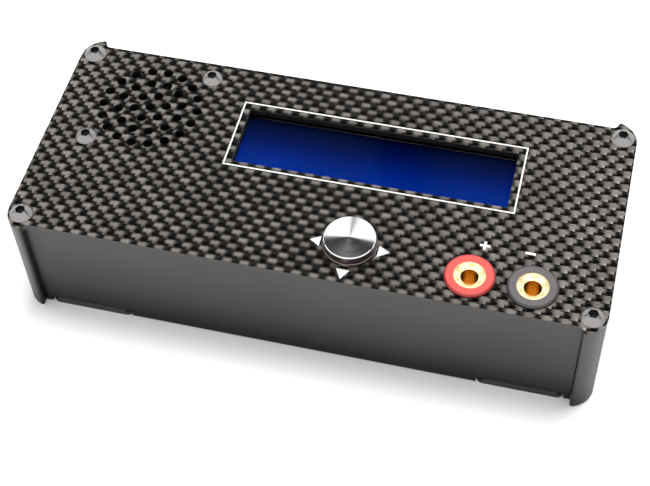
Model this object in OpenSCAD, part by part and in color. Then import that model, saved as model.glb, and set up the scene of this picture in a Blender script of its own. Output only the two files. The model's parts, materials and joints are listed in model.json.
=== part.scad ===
// Balance charger for model battery packs: an extruded channel closed by two end
// cheeks and a top plate that carries a cooling fan, a two-line display, a push
// dial and two 4 mm output sockets. The balance ports are in the rear wall and
// the power inlet is in the left cheek. Millimetres, +Z up, origin under the
// middle of the case on the surface that it stands on.

/* [Case] */
// Length over the end cheeks
case_l = 136.3; // [134.3:0.1:150]
// Depth over the top plate's straight edges
case_w = 56.8; // [55.5:0.1:64]
// Height from the channel's underside to the top plate's face
case_h = 29.1; // [28.5:0.1:36]
// How far the corner noses stand out past the straight edges
nose_out = 2; // [1.4:0.1:2.4]
// Outer radius of the case's upright corners
corner_r = 6; // [5.5:0.1:8]
// Radius on the inner edge of each corner nose
tip_r = 0.5; // [0.3:0.05:0.6]
// Thickness of a cheek where it carries the screws
cheek_t = 4.85; // [4.5:0.05:5.5]
// Thickness of a cheek's wall between its corner posts
cheek_wall_t = 2.4; // [1.6:0.1:3.5]
// Thickness of the top plate
plate_t = 1.5; // [1:0.1:2]
// Thickness of the extruded channel's walls and floor
sheet_t = 1; // [0.8:0.1:1.2]
// Radius inside the channel's lower corners
root_r = 0.4; // [0.3:0.1:1]
// How far the case's lower edges reach below the channel's floor
skirt = 0.6; // [0.4:0.05:0.7]
// Height of the rubber feet below the channel
foot_t = 1; // [0.9:0.1:2]
// Length of a rubber foot
foot_l = 20; // [12:0.5:24]
// Width of a rubber foot
foot_w = 8; // [6:0.5:12]
// Distance from the case's end to the nearer end of a foot
foot_in = 6.55; // [6.3:0.05:14]

/* [Case screws] */
// Thread diameter of the case screws
screw_d = 3; // [2.5:0.1:3]
// Head diameter of the case screws
head_d = 5.6; // [5:0.1:5.8]
// Head height of the case screws
head_h = 1.65; // [1.3:0.05:1.8]
// Width across the flats of the screws' hexagon socket
hex_af = 2; // [1.5:0.1:2.2]
// Length of a case screw under its head
screw_l = 9; // [6:0.5:10]
// Distance of a case screw from the case's end
screw_in_x = 3.4; // [3.2:0.05:3.6]
// Distance of a case screw from the plate's straight edge
screw_in_y = 2.9; // [2.8:0.05:3.6]
// Head diameter of the flat screws under the case
base_head_d = 4.5; // [4:0.1:4.6]
// Head height of the flat screws under the case
base_head_h = 0.7; // [0.5:0.1:0.8]
// Length of a flat screw above its head
base_screw_l = 9; // [6:0.5:10]

/* [Fan] */
// Side of the square fan
fan_size = 30; // [27:0.5:32]
// Thickness of the fan
fan_t = 10; // [9:0.5:10]
// Distance of the fan's screw holes from its sides
fan_hole_in = 3; // [2.8:0.1:3.4]
// Distance of the fan's side from the case's left end
fan_in_x = 7.1; // [6.9:0.05:9]
// Distance of the fan's side from the plate's rear edge
fan_in_y = 1.8; // [1.6:0.1:3]
// Thread diameter of the fan screws
fan_screw_d = 2.5; // [2:0.1:2.6]
// Head diameter of the fan screws
fan_head_d = 5.2; // [4.5:0.1:5.4]
// Diameter of the fan's hub
hub_d = 15.6; // [14:0.1:17]
// Number of fan blades
blade_count = 7; // [5:1:9]
// Diameter of one air hole over the fan
grille_hole_d = 2.3; // [1.8:0.1:2.5]
// Distance of the outer grille holes' centres from the fan's bore
grille_in = 2.24; // [2:0.02:2.6]

/* [Display] */
// Gap between the fan and the display's circuit board
lcd_gap = 0.95; // [0.5:0.05:4]
// Distance of the display's circuit board from the case's right end
lcd_in_x = 18.25; // [12:0.05:22]
// Distance of the viewing window from the plate's front edge
view_front = 28.175; // [27:0.025:30]
// Distance of the viewing window from the plate's rear edge
view_rear = 12.575; // [12.2:0.025:14]
// Circuit board beyond the viewing window at each end
lcd_side = 7.8; // [7.5:0.1:9]
// Circuit board beyond the viewing window at front and back
lcd_edge = 9.975; // [9.5:0.025:10.3]
// Spacing of the pins between the display's board and the main board
header_step = 2.54; // [2:0.02:2.6]
// Height of the display's metal frame above its board
module_h = 7; // [6.6:0.1:7.4]
// Metal frame beyond the viewing window at each end
bezel_side = 3.4; // [3:0.1:4]
// Metal frame beyond the viewing window at front and back
bezel_edge = 4.075; // [3.8:0.025:4.6]
// Thickness of the clear window
lens_t = 1; // [0.8:0.1:1.5]

/* [Dial] */
// Dial centre, right of the display's centre
dial_off = 0.3; // [-2:0.1:2]
// Distance of the dial's centre from the plate's front edge
dial_in_y = 10; // [9:0.1:11]
// Diameter of the dial's flange
dial_d = 12.4; // [11.6:0.1:13]
// Height of the dial above the top plate
dial_h = 3.5; // [3.3:0.1:6]
// Crown of the dial's top above its rim
dial_crown = 0.1; // [0.1:0.1:0.4]
// Travel of the dial when it is pressed
press_travel = 0.5; // [0.3:0.05:0.55]
// Diameter of the encoder's shaft
shaft_d = 6; // [5:0.1:6]

/* [Output sockets] */
// Distance of the middle of the two sockets from the case's right end
socket_in_x = 23.85; // [20:0.05:27]
// Distance of the sockets' centres from the plate's front edge
socket_in_y = 7.6; // [7:0.1:9]
// Distance between the two sockets
socket_pitch = 13.8; // [13.4:0.1:15]
// Diameter of the plug that fits a socket
plug_d = 4; // [3.5:0.1:4.2]
// Diameter of a socket's plastic collar
collar_d = 11.3; // [10.6:0.1:11.8]
// Height of a collar above the top plate
collar_h = 0.8; // [0.6:0.1:1.5]
// Thread diameter of a socket's barrel
barrel_d = 8; // [7.8:0.1:8.4]
// Depth of a socket's straight plug bore
plug_depth = 11.5; // [9:0.5:11.8]
// Length of a socket's barrel below the top plate's face
barrel_l = 13.5; // [13.2:0.1:14.5]

/* [Balance ports] */
// Cell counts that the balance ports serve
port_cells = [2, 3, 4, 5, 6]; // one port for each
// Spacing of the pins in a port
pin_pitch = 2.5; // [2.5:0.01:2.54]
// Width of a port beyond its outer pins, both sides together
port_ends = 4.9; // [4.7:0.1:5.2]
// Height of a port's shroud
port_h = 5.9; // [5.8:0.1:6.4]
// Depth of a port's shroud
port_depth = 11.5; // [10.5:0.5:12]
// Gap between neighbouring ports
port_gap = 1.1; // [0.8:0.1:1.2]
// Distance of the nearer end of the row of ports from the case's right end
bank_in = 14.1; // [13.8:0.1:16]

/* [Power inlet] */
// Distance of the power inlet's centre from the plate's front edge
inlet_in_y = 12.9; // [12.6:0.1:15]
// Width of the inlet's housing
inlet_w = 9; // [8.6:0.1:9.4]
// Height of the inlet's housing
inlet_h = 11; // [10.5:0.1:12]
// Diameter of the inlet's contact pin
inlet_pin_d = 2.1; // [2:0.1:2.5]
// Diameter of the inlet's bore
inlet_bore_d = 6.3; // [6:0.1:6.6]

/* [Circuit board] */
// Thickness of the circuit boards
board_t = 1.6; // [1.2:0.1:1.8]
// Height of the standoffs under the main board
standoff_h = 4; // [3.5:0.5:5]

/* [Cooling slots] */
// Width of a cooling slot in an end cheek
slot_w = 2.2; // [1.5:0.1:3]
// Spacing of the cooling slots
slot_pitch = 5; // [4:0.1:6]
// Height of a cooling slot
slot_h = 13; // [8:0.5:16]

/* [Hidden] */
$fn = 64;

eps = 0.5;          // extra length of a cutting tool past a face
fit = 0.02;         // radial clearance of a seated or threaded pair
slip = 0.1;         // clearance around a part that drops in
air = 0.3;          // clearance between parts that move past each other
run = 0.04;         // radial clearance of a shaft that turns in a bearing

// case
half_l = case_l / 2;
half_w = case_w / 2;
nose_y = half_w + nose_out;
nose_x = half_l - cheek_t;
floor_z = foot_t + sheet_t;
skirt_z = foot_t - skirt;
top_z = foot_t + case_h;
under_z = top_z - plate_t;
cheek_inset = 0.05;                 // plate edge to cheek face
wall_y = half_w - cheek_inset;      // outer face of the channel's walls
wall_in_y = wall_y - sheet_t;       // inner face of the channel's walls
wall_gap = 0.05;                    // open line between plate and channel
root_in = sheet_t + root_r;         // wall's outer face to the end of the root radius
cheek_in_x = half_l - cheek_wall_t; // inner face of a cheek's wall
screw_x = half_l - screw_in_x;
screw_y = half_w - screw_in_y;
post_w = 7.5;                       // depth of a cheek's corner post
boss_wall = 1.7;
boss_r = screw_d / 2 + boss_wall;   // boss around a case screw
boss_y = wall_y - root_in - slip;   // bosses clear of the channel's roots
hole_extra = 1;                     // tapped hole beyond the screw's end
foot_x = half_l - foot_in - foot_l / 2;
foot_r = 1.5;
end_gap = 0.1;                      // channel wall to corner post
floor_in = 1.1;                     // channel floor inside the case's ends

// main board
board_z = floor_z + standoff_h;
deck_z = board_z + board_t;
board_gap_x = 0.35;                 // board to screw boss
board_gap_y = 0.85;                 // board to channel wall
board_half_l = screw_x - boss_r - board_gap_x;
board_half_w = wall_in_y - board_gap_y;
stand_r = 2.9;
stud_r = 2.1;                       // stud pressed into the channel's floor
stud_gap = 0.5;                     // closed end of a standoff's thread
stand_x = board_half_l - stand_r - 0.8;
stand_y = board_half_w - stand_r - 0.1;
board_head_r = 2.7;
board_head_h = 1.6;
board_screw_l = board_t + standoff_h - 0.6;

// fan
fan_x = -half_l + fan_in_x + fan_size / 2;
fan_y = half_w - fan_in_y - fan_size / 2;
fan_pitch = fan_size - 2 * fan_hole_in;
fan_z = under_z - fan_t;
flange_t = 2.4;
tip_gap = 0.5;
rotor_top = under_z - 0.7;            // hub clear of the plate
blade_t = 0.8;
blade_tilt = 42;
hub_wall = 0.8;
hub_top_t = 0.9;
magnet_r = hub_d / 2 - hub_wall - fit;
magnet_t = 1;
seat_t = 1.2;                       // motor seat under the hub
seat_r = hub_d / 2 - 0.4;
strut_w = 1.6;
rotor_z = fan_z + seat_t + 0.5;
fan_shaft_r = 1;
bearing_r = 2.2;
bearing_l = 5.8;
bearing_floor = 0.4;
bearing_z = fan_z + seat_t / 2;
post_wall = 0.5;                    // wall of the tube round the bearing
core_r = 3.6;                       // stator core
coil_board_t = 0.8;
pole_z = 1.2;
pole_h = 3;
pole_w = 3.2;
fan_corner_r = 2;
fan_nut_af = fan_screw_d * 2;
fan_nut_t = 2;
nut_gap = 0.07;                     // nuts to the fan's tube
tube_wall = 0.7;
tube_r = fan_pitch * sqrt(2) / 2 - fan_nut_af / 2 - nut_gap;
bore_r = tube_r - tube_wall;
grille_rings = 3;
grille_step = (bore_r - grille_in) / grille_rings;
fan_plug_h = 6;
fan_plug_l = 6;
fan_plug_w = 3.6;
fan_plug_gap = 3.7;                 // plug to heat sink
fan_lead_r = 0.5;
fan_lead_bow = 3;

// display
lcd_left = fan_x + fan_size / 2 + lcd_gap;
lcd_board_l = half_l - lcd_in_x - lcd_left;
lcd_x = lcd_left + lcd_board_l / 2;
lcd_y = (view_front - view_rear) / 2;
view_l = lcd_board_l - 2 * lcd_side;
view_w = case_w - view_front - view_rear;
lcd_board_w = view_w + 2 * lcd_edge;
lens_z = under_z - lens_t;
lcd_deck_z = lens_z - module_h;
lcd_board_z = lcd_deck_z - board_t;
bezel_l = view_l + 2 * bezel_side;
bezel_w = view_w + 2 * bezel_edge;
bezel_t = 0.3;
glass_t = 2.2;
glass_lap = 2;                      // glass and window beyond the opening
light_gap = 0.7;                    // light guide to the frame's skirt
lcd_hole_in = 2.5;
lcd_hole_x = lcd_board_l / 2 - lcd_hole_in;
lcd_hole_y = lcd_board_w / 2 - lcd_hole_in;
lcd_screw_d = 2.5;
lcd_head_h = 1.2;
lcd_bite = 4;                       // screw into the display's standoff
lcd_post_r = 2.4;
header_pins = 16;
header_y = lcd_y - lcd_hole_y;
header_sq = 0.64;
header_w = 2.5;
strip_h = 2.5;
header_end = 0.3;                   // socket beyond its strip at each end
pin_down = 5.5;                     // pins below the strip
pin_up = 0.6;                       // pins above the display's board

// dial and encoder
dial_x = lcd_x + dial_off;
dial_y = -half_w + dial_in_y;
encoder_w = 12.4;
encoder_h = 5.5;
encoder_top = deck_z + encoder_h;
encoder_lid_t = 0.4;
strap_w = 7;
bush_wall = 0.5;
bush_r = shaft_d / 2 + bush_wall;
bush_h = 7;
dial_gap = 0.7;                     // dial above the plate at rest
flange_h = 0.8;
rim_in = 0.35;                      // cap inside the flange
cap_r = dial_d / 2 - rim_in;
chamfer = 0.6;
cap_z = dial_h - dial_crown;         // rim of the crowned top
groove = 0.25;
groove_h = 0.3;
hub_wall_t = 1.2;
hub_r = shaft_d / 2 + hub_wall_t;
hub_gap = 0.5;                      // dial hub to its hole in the plate
hub_drop = 2.5;                     // dial hub below the plate's face
dial_top_t = 1.2;                   // dial over the end of its bore
bore_end = 0.1;                     // bore beyond the shaft's tip
shaft_tip = top_z + dial_h - dial_top_t - bore_end;
flat_cut = shaft_d / 4;             // shaft centre to its flat
flat_l = 9;
disc_r = shaft_d / 2 + 1.4;
disc_t = 0.9;
disc_z = deck_z + 2.7;
shaft_end = 0.4;                    // shaft below its disc
cavity_r = disc_r + 0.6;
cavity_floor = 0.5;
dome_z = deck_z + cavity_floor;
dome_t = 0.2;
dome_r = 3.5;
plunger_r = 1.5;
plunger_top = disc_z - shaft_end - 0.05;
plunger_h = plunger_top - dome_z - dome_t - press_travel - 0.05;

// output sockets
socket_x = half_l - socket_in_x;
socket_y = -half_w + socket_in_y;
socket_xs = [socket_x - socket_pitch / 2, socket_x + socket_pitch / 2];
barrel_wall = 1;
contact_r = barrel_d / 2 - barrel_wall;
rim_r = contact_r + 0.55;           // flared head of the contact
rim_t = 1.1;
rim_edge = 0.25;                    // flat ring round the funnel
contact_top = top_z + collar_h - 0.05;
mark_l = 1.2;
mark_w = 0.4;
mark_z = top_z + 0.1;
contact_l = barrel_l - 0.8;
tail_r = 1.5;
tail_l = 3;
tail_z = top_z - contact_l - tail_l;
nut_af = barrel_d + 2;
nut_t = 2.2;
washer_t = 0.4;
washer_lap = 0.9;                   // washer beyond the nut's flats
collar_edge = 0.3;                  // bevel round a collar
lead_r = 1.2;
lead_reach = 8.8;                   // pad on the board behind the socket

// balance ports
function port_w(cells) = cells * pin_pitch + port_ends;
function port_sum(i) = i < 0 ? 0 : port_sum(i - 1) + port_w(port_cells[i]) + port_gap;
bank_l = port_sum(len(port_cells) - 1) - port_gap;
bank_x = half_l - bank_in - bank_l / 2;
function port_x(i) = bank_x - bank_l / 2 + port_sum(i - 1) + port_w(port_cells[i]) / 2;
port_in = 0.1;                      // mouths inside the wall's face
port_front = wall_y - port_in;
port_back = port_front - port_depth;
port_wall = 0.75;
cavity_depth = 8.2;
tip_depth = 4.5;                    // tips of the pins behind the mouth
port_pin_y = port_front - tip_depth;
port_tail = 1;                      // pins behind the shroud and under the board
key_in = 2.6;                       // key slot from a port's side
key_w = 1.4;
port_pin_z = deck_z + port_h / 2;
pin_sq = 0.64;

// power inlet
inlet_l = 14.2;
inlet_gap = 0.2;                    // housing to cheek
inlet_x = -cheek_in_x + inlet_gap;
inlet_y = -half_w + inlet_in_y;
inlet_collar_wall = 1.45;
inlet_collar_r = inlet_bore_d / 2 + inlet_collar_wall;
inlet_z = deck_z + inlet_h - inlet_collar_r;
inlet_face_x = -half_l + 0.6;       // mouth, inside the cheek's face
inlet_depth = 10.5;
inlet_pin_in = 1.5;                 // pin's tip behind the mouth
inlet_pin_seat = 2;                 // pin held in the housing's back

// heat sink under the fan
sink_l = 28;
sink_in = 1;                        // sink inside the fan's front
sink_clear = 0.5;                   // sink to the ports' pins
sink_front = fan_y - fan_size / 2 + sink_in;
sink_w = port_back - port_tail - sink_clear - sink_front;
sink_x = fan_x;
sink_y = sink_front + sink_w / 2;
transistor_h = 4.4;
transistor_gap_x = 1.2;
transistor_gap_y = 2;
transistor_w = (sink_w - transistor_gap_y) / 2 - slip;
transistor_l = 8;
sink_z = deck_z + transistor_h;
sink_base = 2;
sink_gap = 0.6;                     // fins to the fan
sink_top = fan_z - sink_gap;
fan_plug_x = fan_x + fan_size / 2 - fan_corner_r - 1.5;
fan_plug_y = sink_front - fan_plug_gap - fan_plug_w / 2;
fin_count = 8;
fin_t = 1;
leg_r = 2.2;
leg_x = sink_l / 2 - leg_r - 0.4;
sink_screw_r = 1;
sink_head_r = 1.9;
sink_head_h = 1.2;
sink_bite = 3.4;                    // screw into the heat sink's leg

// parts on the board
room_h = lcd_board_z - deck_z;      // height under the display's board
header_back = header_y + header_w / 2;
choke_room = port_back - port_tail - header_back;
choke_gap_y = 2.05;
choke_r = choke_room / 2 - choke_gap_y;
choke_wire = 0.9;
choke_gap_z = 2.5;                  // chokes to the display's board
choke_h = room_h - choke_gap_z - 2 * (choke_wire + fit);
choke_hole_r = choke_r / 2;         // inside the wire
choke_turns = 14;
choke_y = header_back + choke_room / 2;
choke_gap_x = 3;
choke_pitch = 2 * choke_r + choke_gap_x;
sink_choke_gap = 9;
choke_x = sink_x + sink_l / 2 + sink_choke_gap + choke_r;
can_r = 4;
can_gap_z = 1;                      // cans to the display's board
can_h = room_h - can_gap_z;
can_pitch = 10;
can_gap = 1.5;                      // cans to chokes and to the header
can_in = 5;                         // least board beyond the last can
can_x = choke_x + choke_pitch + choke_r + can_gap + can_r;
can_y = header_back + can_gap + can_r;
can_count = 1 + floor((board_half_l - can_in - can_r - can_x) / can_pitch);
can_bead_z = 1.4;
can_bead = 0.35;
chip_w = 10;
chip_h = 1.4;
chip_x = (dial_x + encoder_w / 2 + socket_xs[0] - lead_r) / 2;
chip_y = dial_y;
chip_leads = 11;
chip_lead_pitch = 0.8;
chip_lead_w = 0.36;
chip_lead_t = 0.3;
chip_lead_out = 1;
driver_l = 5;
driver_w = 4;
driver_h = 1.5;
driver_gap = 0.45;                  // small chips to the ports' pins
driver_x = can_x;
driver_y = port_back - port_tail - driver_gap - chip_lead_out - driver_w / 2;
driver_lead_pitch = 1.27;
buzzer_r = 6;
buzzer_h = 8.5;
fuse_gap = 4.8;                     // between inlet, fuse and buzzer
fuse_l = 11;
fuse_x = inlet_x + inlet_l + fuse_gap + fuse_l / 2;
buzzer_x = fuse_x + fuse_l / 2 + fuse_gap + buzzer_r;
fuse_w = 3.8;
fuse_h = 7;
fuse_blade_w = 2.8;
fuse_blade_t = 0.8;
fuse_lift = 3;

// ---------------------------------------------------------------- helpers

// Rectangle with true round corners
module rounded(l, w, r) {
  square([l - 2 * r, w], center = true);
  square([l, w - 2 * r], center = true);
  for (x = [-1, 1], y = [-1, 1])
    translate([x * (l / 2 - r), y * (w / 2 - r)]) circle(r);
}

// One corner nose in plan, for the +X +Y corner, drawn d inside the outline
module nose(d) {
  r = corner_r - d;
  cx = half_l - corner_r;
  cy = nose_y - corner_r;
  x0 = nose_x + d;
  tx = x0 + tip_r;
  ty = cy + sqrt(pow(r - tip_r, 2) - pow(tx - cx, 2));
  px = tx + tip_r * (tx - cx) / (r - tip_r);
  translate([tx, ty]) circle(tip_r);
  translate([x0, 0]) square([px - x0, ty]);
  translate([px, 0]) square([half_l - d - px, nose_y]);
}

// Everything inside the case's rounded outline
module within(d) {
  intersection() {
    rounded(case_l - 2 * d, 2 * (nose_y - d), corner_r - d);
    children();
  }
}

// Top plate in plan: straight edges, with noses blended in by small fillets
module plate_outline() {
  tx = nose_x + tip_r;
  ty = nose_y - corner_r
    + sqrt(pow(corner_r - tip_r, 2) - pow(tx - half_l + corner_r, 2));
  fillet = ty - half_w;
  within(0) {
    square([case_l, case_w], center = true);
    for (x = [0, 1], y = [0, 1]) mirror([x, 0]) mirror([0, y]) {
      nose(0);
      difference() {
        translate([nose_x - fillet, half_w - eps])
          square([fillet + eps, fillet + eps]);
        translate([nose_x - fillet, half_w + fillet]) circle(fillet);
      }
    }
  }
}

// Button-head screw with a hexagon socket, head seated at z = 0
module button_screw(d, hd, hh, l, af) {
  difference() {
    union() {
      rotate_extrude() intersection() {
        translate([0, hh - (hd * hd / 4 + hh * hh) / (2 * hh)])
          circle((hd * hd / 4 + hh * hh) / (2 * hh), $fn = 128);
        square([hd / 2, hh]);
      }
      translate([0, 0, -l]) cylinder(h = l + eps, r = d / 2 - fit);
    }
    translate([0, 0, hh * 0.35]) cylinder(h = hh, r = af / 2 / cos(30), $fn = 6);
  }
}

// Flat-headed screw whose head lies below z = 0 and shank points up
module flat_screw(d, hd, hh, l) {
  difference() {
    union() {
      translate([0, 0, -hh]) cylinder(h = hh, r = hd / 2);
      translate([0, 0, -eps]) cylinder(h = l + eps, r = d / 2 - fit);
    }
    for (a = [0, 90]) rotate(a)
      translate([-hd * 0.3, -0.3, -hh - eps]) cube([hd * 0.6, 0.6, hh / 2 + eps]);
  }
}

// Hexagon nut standing on z = 0
module hex_nut(af, d, t) {
  difference() {
    cylinder(h = t, r = af / 2 / cos(30), $fn = 6);
    translate([0, 0, -eps]) cylinder(h = t + 2 * eps, r = d / 2);
  }
}

// The four corners of a rectangle centred on the origin
module corners(x, y) {
  for (i = [-1, 1], j = [-1, 1]) translate([i * x, j * y, 0]) children();
}

// Tube of radius r swept along a list of points, as one closed solid
module tube(path, r, sides = 8) {
  n = len(path);
  function unit(v) = v / norm(v);
  function along(i) = unit(path[min(i + 1, n - 1)] - path[max(i - 1, 0)]);
  function across(t) = unit(cross(t, abs(t[0]) < 0.9 ? [1, 0, 0] : [0, 1, 0]));
  rings = [for (i = [0 : n - 1])
    let (t = along(i), u = across(t), v = cross(t, u))
      for (k = [0 : sides - 1])
        path[i] + r * (cos(360 * k / sides) * u + sin(360 * k / sides) * v)];
  walls = [for (i = [0 : n - 2], k = [0 : sides - 1])
    let (a = i * sides + k, b = i * sides + (k + 1) % sides)
      [a, a + sides, b + sides, b]];
  first = [for (k = [0 : sides - 1]) k];
  last = [for (k = [0 : sides - 1]) n * sides - 1 - k];
  polyhedron(points = rings, faces = concat(walls, [first], [last]));
}

// Points along a lead that leaves a along u and arrives at d from d + v
function lead_path(a, u, d, v, n) =
  let (p = a + u / 10, q = d + v / 10)
    concat([a], [for (i = [0 : n])
      let (t = i / n, s = 1 - t)
        s * s * s * p + 3 * s * s * t * (p + u) + 3 * s * t * t * (q + v) + t * t * t * q],
      [d]);

// ------------------------------------------------------------------- case

module top_plate() {
  color([0.13, 0.13, 0.13])
  difference() {
    translate([0, 0, under_z]) linear_extrude(plate_t) plate_outline();
    translate([0, 0, under_z - eps]) {
      corners(screw_x, screw_y) cylinder(h = plate_t + 2 * eps, r = screw_d / 2 + slip);
      translate([fan_x, fan_y, 0]) {
        for (s = [-1, 1]) translate([s * fan_pitch / 2, s * fan_pitch / 2, 0])
          cylinder(h = plate_t + 2 * eps, r = fan_screw_d / 2 + slip);
        grille_holes();
      }
      translate([lcd_x - view_l / 2, lcd_y - view_w / 2, 0])
        cube([view_l, view_w, plate_t + 2 * eps]);
      translate([dial_x, dial_y, 0])
        cylinder(h = plate_t + 2 * eps, r = hub_r + hub_gap);
      for (x = socket_xs) translate([x, socket_y, 0])
        cylinder(h = plate_t + 2 * eps, r = barrel_d / 2 + slip);
    }
  }
}

// One centre hole and three rings of 6, 12 and 18
module grille_holes() {
  cylinder(h = plate_t + 2 * eps, r = grille_hole_d / 2);
  for (ring = [1 : grille_rings], k = [1 : 6 * ring])
    rotate((k + (ring == 2 ? 0.5 : 0.25)) * 60 / ring)
      translate([ring * grille_step, 0, 0])
        cylinder(h = plate_t + 2 * eps, r = grille_hole_d / 2);
}

// Outer walls down to the lower edges, with the floor web between them
module channel_section() {
  difference() {
    translate([-wall_y, skirt_z]) square([2 * wall_y, under_z - wall_gap - skirt_z]);
    translate([-wall_in_y, skirt_z - eps]) square([2 * wall_in_y, skirt + eps]);
    translate([-wall_in_y, floor_z + root_r]) square([2 * wall_in_y, case_h]);
    hull() for (m = [-1, 1]) translate([m * (wall_in_y - root_r), floor_z + root_r])
      circle(root_r);
  }
}

module channel() {
  wall_l = 2 * (nose_x - end_gap);
  floor_l = 2 * (half_l - floor_in);
  color([0.30, 0.30, 0.31])
  difference() {
    union() {
      rotate([90, 0, 90]) translate([0, 0, -wall_l / 2])
        linear_extrude(wall_l) channel_section();
      translate([-floor_l / 2, -(wall_y - root_in), foot_t])
        cube([floor_l, 2 * (wall_y - root_in), sheet_t]);
    }
    // seats for the lips of the feet
    for (x = [-1, 1], y = [-1, 1])
      translate([x * foot_x - foot_l / 2 - slip, y > 0 ? wall_y - root_in : -wall_y - eps,
                 skirt_z - eps])
        cube([foot_l + 2 * slip, root_in + eps, floor_z + slip - skirt_z + eps]);
    corners(screw_x, screw_y) translate([0, 0, foot_t - eps])
      cylinder(h = sheet_t + 2 * eps, r = screw_d / 2 + slip);
    corners(stand_x, stand_y) translate([0, 0, foot_t - eps])
      cylinder(h = sheet_t + 2 * eps, r = stud_r + fit);
    // window in the rear wall for the balance ports
    translate([bank_x - bank_l / 2 - slip, wall_in_y - eps, deck_z - slip])
      cube([bank_l + 2 * slip, sheet_t + 2 * eps, port_h + 2 * slip]);
  }
}

// A cheek's wall and its two corner posts
module cheek_outline() {
  within(cheek_inset) translate([cheek_in_x, -nose_y]) square([cheek_wall_t, 2 * nose_y]);
  within(cheek_inset) for (m = [0, 1]) mirror([0, m]) difference() {
    nose(cheek_inset);
    translate([0, -eps]) square([half_l, nose_y - post_w + eps]);
  }
}

// Cheek on the +X side: wall, corner posts, screw bosses and an edge round the channel's floor
module cheek_body() {
  difference() {
    union() {
      translate([0, 0, floor_z]) linear_extrude(under_z - floor_z) {
        cheek_outline();
        for (m = [-1, 1]) intersection() {
          translate([screw_x, m * screw_y]) circle(boss_r);
          square([2 * (half_l - cheek_inset), 2 * boss_y], center = true);
        }
      }
      translate([0, 0, skirt_z]) linear_extrude(floor_z - skirt_z + eps) difference() {
        cheek_outline();
        square([2 * (half_l - floor_in + slip), 2 * (wall_y - root_in + slip)], center = true);
        for (m = [-1, 1]) translate([screw_x, m * screw_y]) circle(base_head_d / 2 + slip);
      }
    }
    for (m = [-1, 1]) translate([screw_x, m * screw_y, 0]) {
      translate([0, 0, top_z - screw_l - hole_extra])
        cylinder(h = screw_l + hole_extra, r = screw_d / 2);
      translate([0, 0, foot_t]) cylinder(h = base_screw_l + hole_extra, r = screw_d / 2);
    }
  }
}

// Row of upright cooling slots through the +X cheek, centred on y
module cooling_slots(count, y) {
  for (k = [0 : count - 1])
    translate([cheek_in_x - eps, y + (k - (count - 1) / 2) * slot_pitch,
               (floor_z + under_z - slot_h) / 2]) {
      translate([0, -slot_w / 2, slot_w / 2])
        cube([cheek_wall_t + 2 * eps, slot_w, slot_h - slot_w]);
      for (z = [slot_w / 2, slot_h - slot_w / 2]) translate([0, 0, z])
        rotate([0, 90, 0]) cylinder(h = cheek_wall_t + 2 * eps, r = slot_w / 2);
    }
}

module right_cheek() {
  color([0.34, 0.34, 0.35]) difference() {
    cheek_body();
    cooling_slots(7, 0);
  }
}

module left_cheek() {
  color([0.34, 0.34, 0.35]) difference() {
    mirror([1, 0, 0]) difference() {
      cheek_body();
      cooling_slots(5, (screw_y - boss_r + inlet_y + inlet_collar_r) / 2);
    }
    translate([-half_l - eps, inlet_y, inlet_z]) rotate([0, 90, 0])
      cylinder(h = cheek_wall_t + 2 * eps, r = inlet_collar_r + 2 * slip);
  }
}

// Foot pad under the channel, with a lip that fills the seat in its lower edge
module rubber_feet() {
  color([0.05, 0.05, 0.05])
  for (x = [-1, 1], m = [0, 1]) mirror([0, m, 0]) {
    translate([x * foot_x, foot_w / 2 - wall_y, 0])
      linear_extrude(foot_t) rounded(foot_l, foot_w, foot_r);
    translate([x * foot_x, root_in / 2 - wall_y, foot_t - slip])
      linear_extrude(sheet_t + slip) square([foot_l - 2 * foot_r, root_in - slip], center = true);
  }
}

module plate_screws() {
  color([0.45, 0.45, 0.47])
  corners(screw_x, screw_y) translate([0, 0, top_z])
    button_screw(screw_d, head_d, head_h, screw_l, hex_af);
}

module base_screws() {
  color([0.2, 0.2, 0.2])
  corners(screw_x, screw_y) translate([0, 0, foot_t])
    flat_screw(screw_d, base_head_d, base_head_h, base_screw_l);
}

// ---------------------------------------------------------------- display

module window_lens() {
  color([0.8, 0.85, 0.9, 0.5])
  translate([lcd_x, lcd_y, lens_z]) linear_extrude(lens_t)
    square([view_l + 2 * glass_lap, view_w + 2 * glass_lap], center = true);
}

module lcd_bezel() {
  color([0.25, 0.25, 0.27])
  translate([lcd_x, lcd_y, 0]) difference() {
    translate([0, 0, lcd_deck_z]) linear_extrude(module_h)
      square([bezel_l, bezel_w], center = true);
    translate([0, 0, lcd_deck_z - eps]) linear_extrude(module_h - bezel_t + eps)
      square([bezel_l - 2 * bezel_t, bezel_w - 2 * bezel_t], center = true);
    translate([0, 0, lens_z - bezel_t - eps]) linear_extrude(bezel_t + 2 * eps)
      square([view_l, view_w], center = true);
  }
}

module lcd_glass() {
  color([0.0, 0.12, 0.6])
  translate([lcd_x, lcd_y, lens_z - bezel_t - glass_t]) linear_extrude(glass_t)
    square([view_l + 2 * glass_lap, view_w + 2.5 * glass_lap], center = true);
}

module lcd_backlight() {
  color([0.9, 0.92, 0.95])
  translate([lcd_x, lcd_y, lcd_deck_z])
    linear_extrude(module_h - bezel_t - glass_t)
      square([bezel_l - 2 * light_gap, bezel_w - 2 * light_gap], center = true);
}

module header_points() {
  for (k = [0 : header_pins - 1])
    translate([lcd_x + (k - (header_pins - 1) / 2) * header_step, header_y, 0]) children();
}

module lcd_board() {
  color([0.05, 0.3, 0.15])
  difference() {
    translate([lcd_x, lcd_y, lcd_board_z]) linear_extrude(board_t)
      square([lcd_board_l, lcd_board_w], center = true);
    translate([lcd_x, lcd_y, lcd_board_z - eps]) corners(lcd_hole_x, lcd_hole_y)
      cylinder(h = board_t + 2 * eps, r = lcd_screw_d / 2 + slip);
    header_points() translate([0, 0, lcd_board_z - eps]) linear_extrude(board_t + 2 * eps)
      square(header_sq + 2 * fit, center = true);
  }
}

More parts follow.
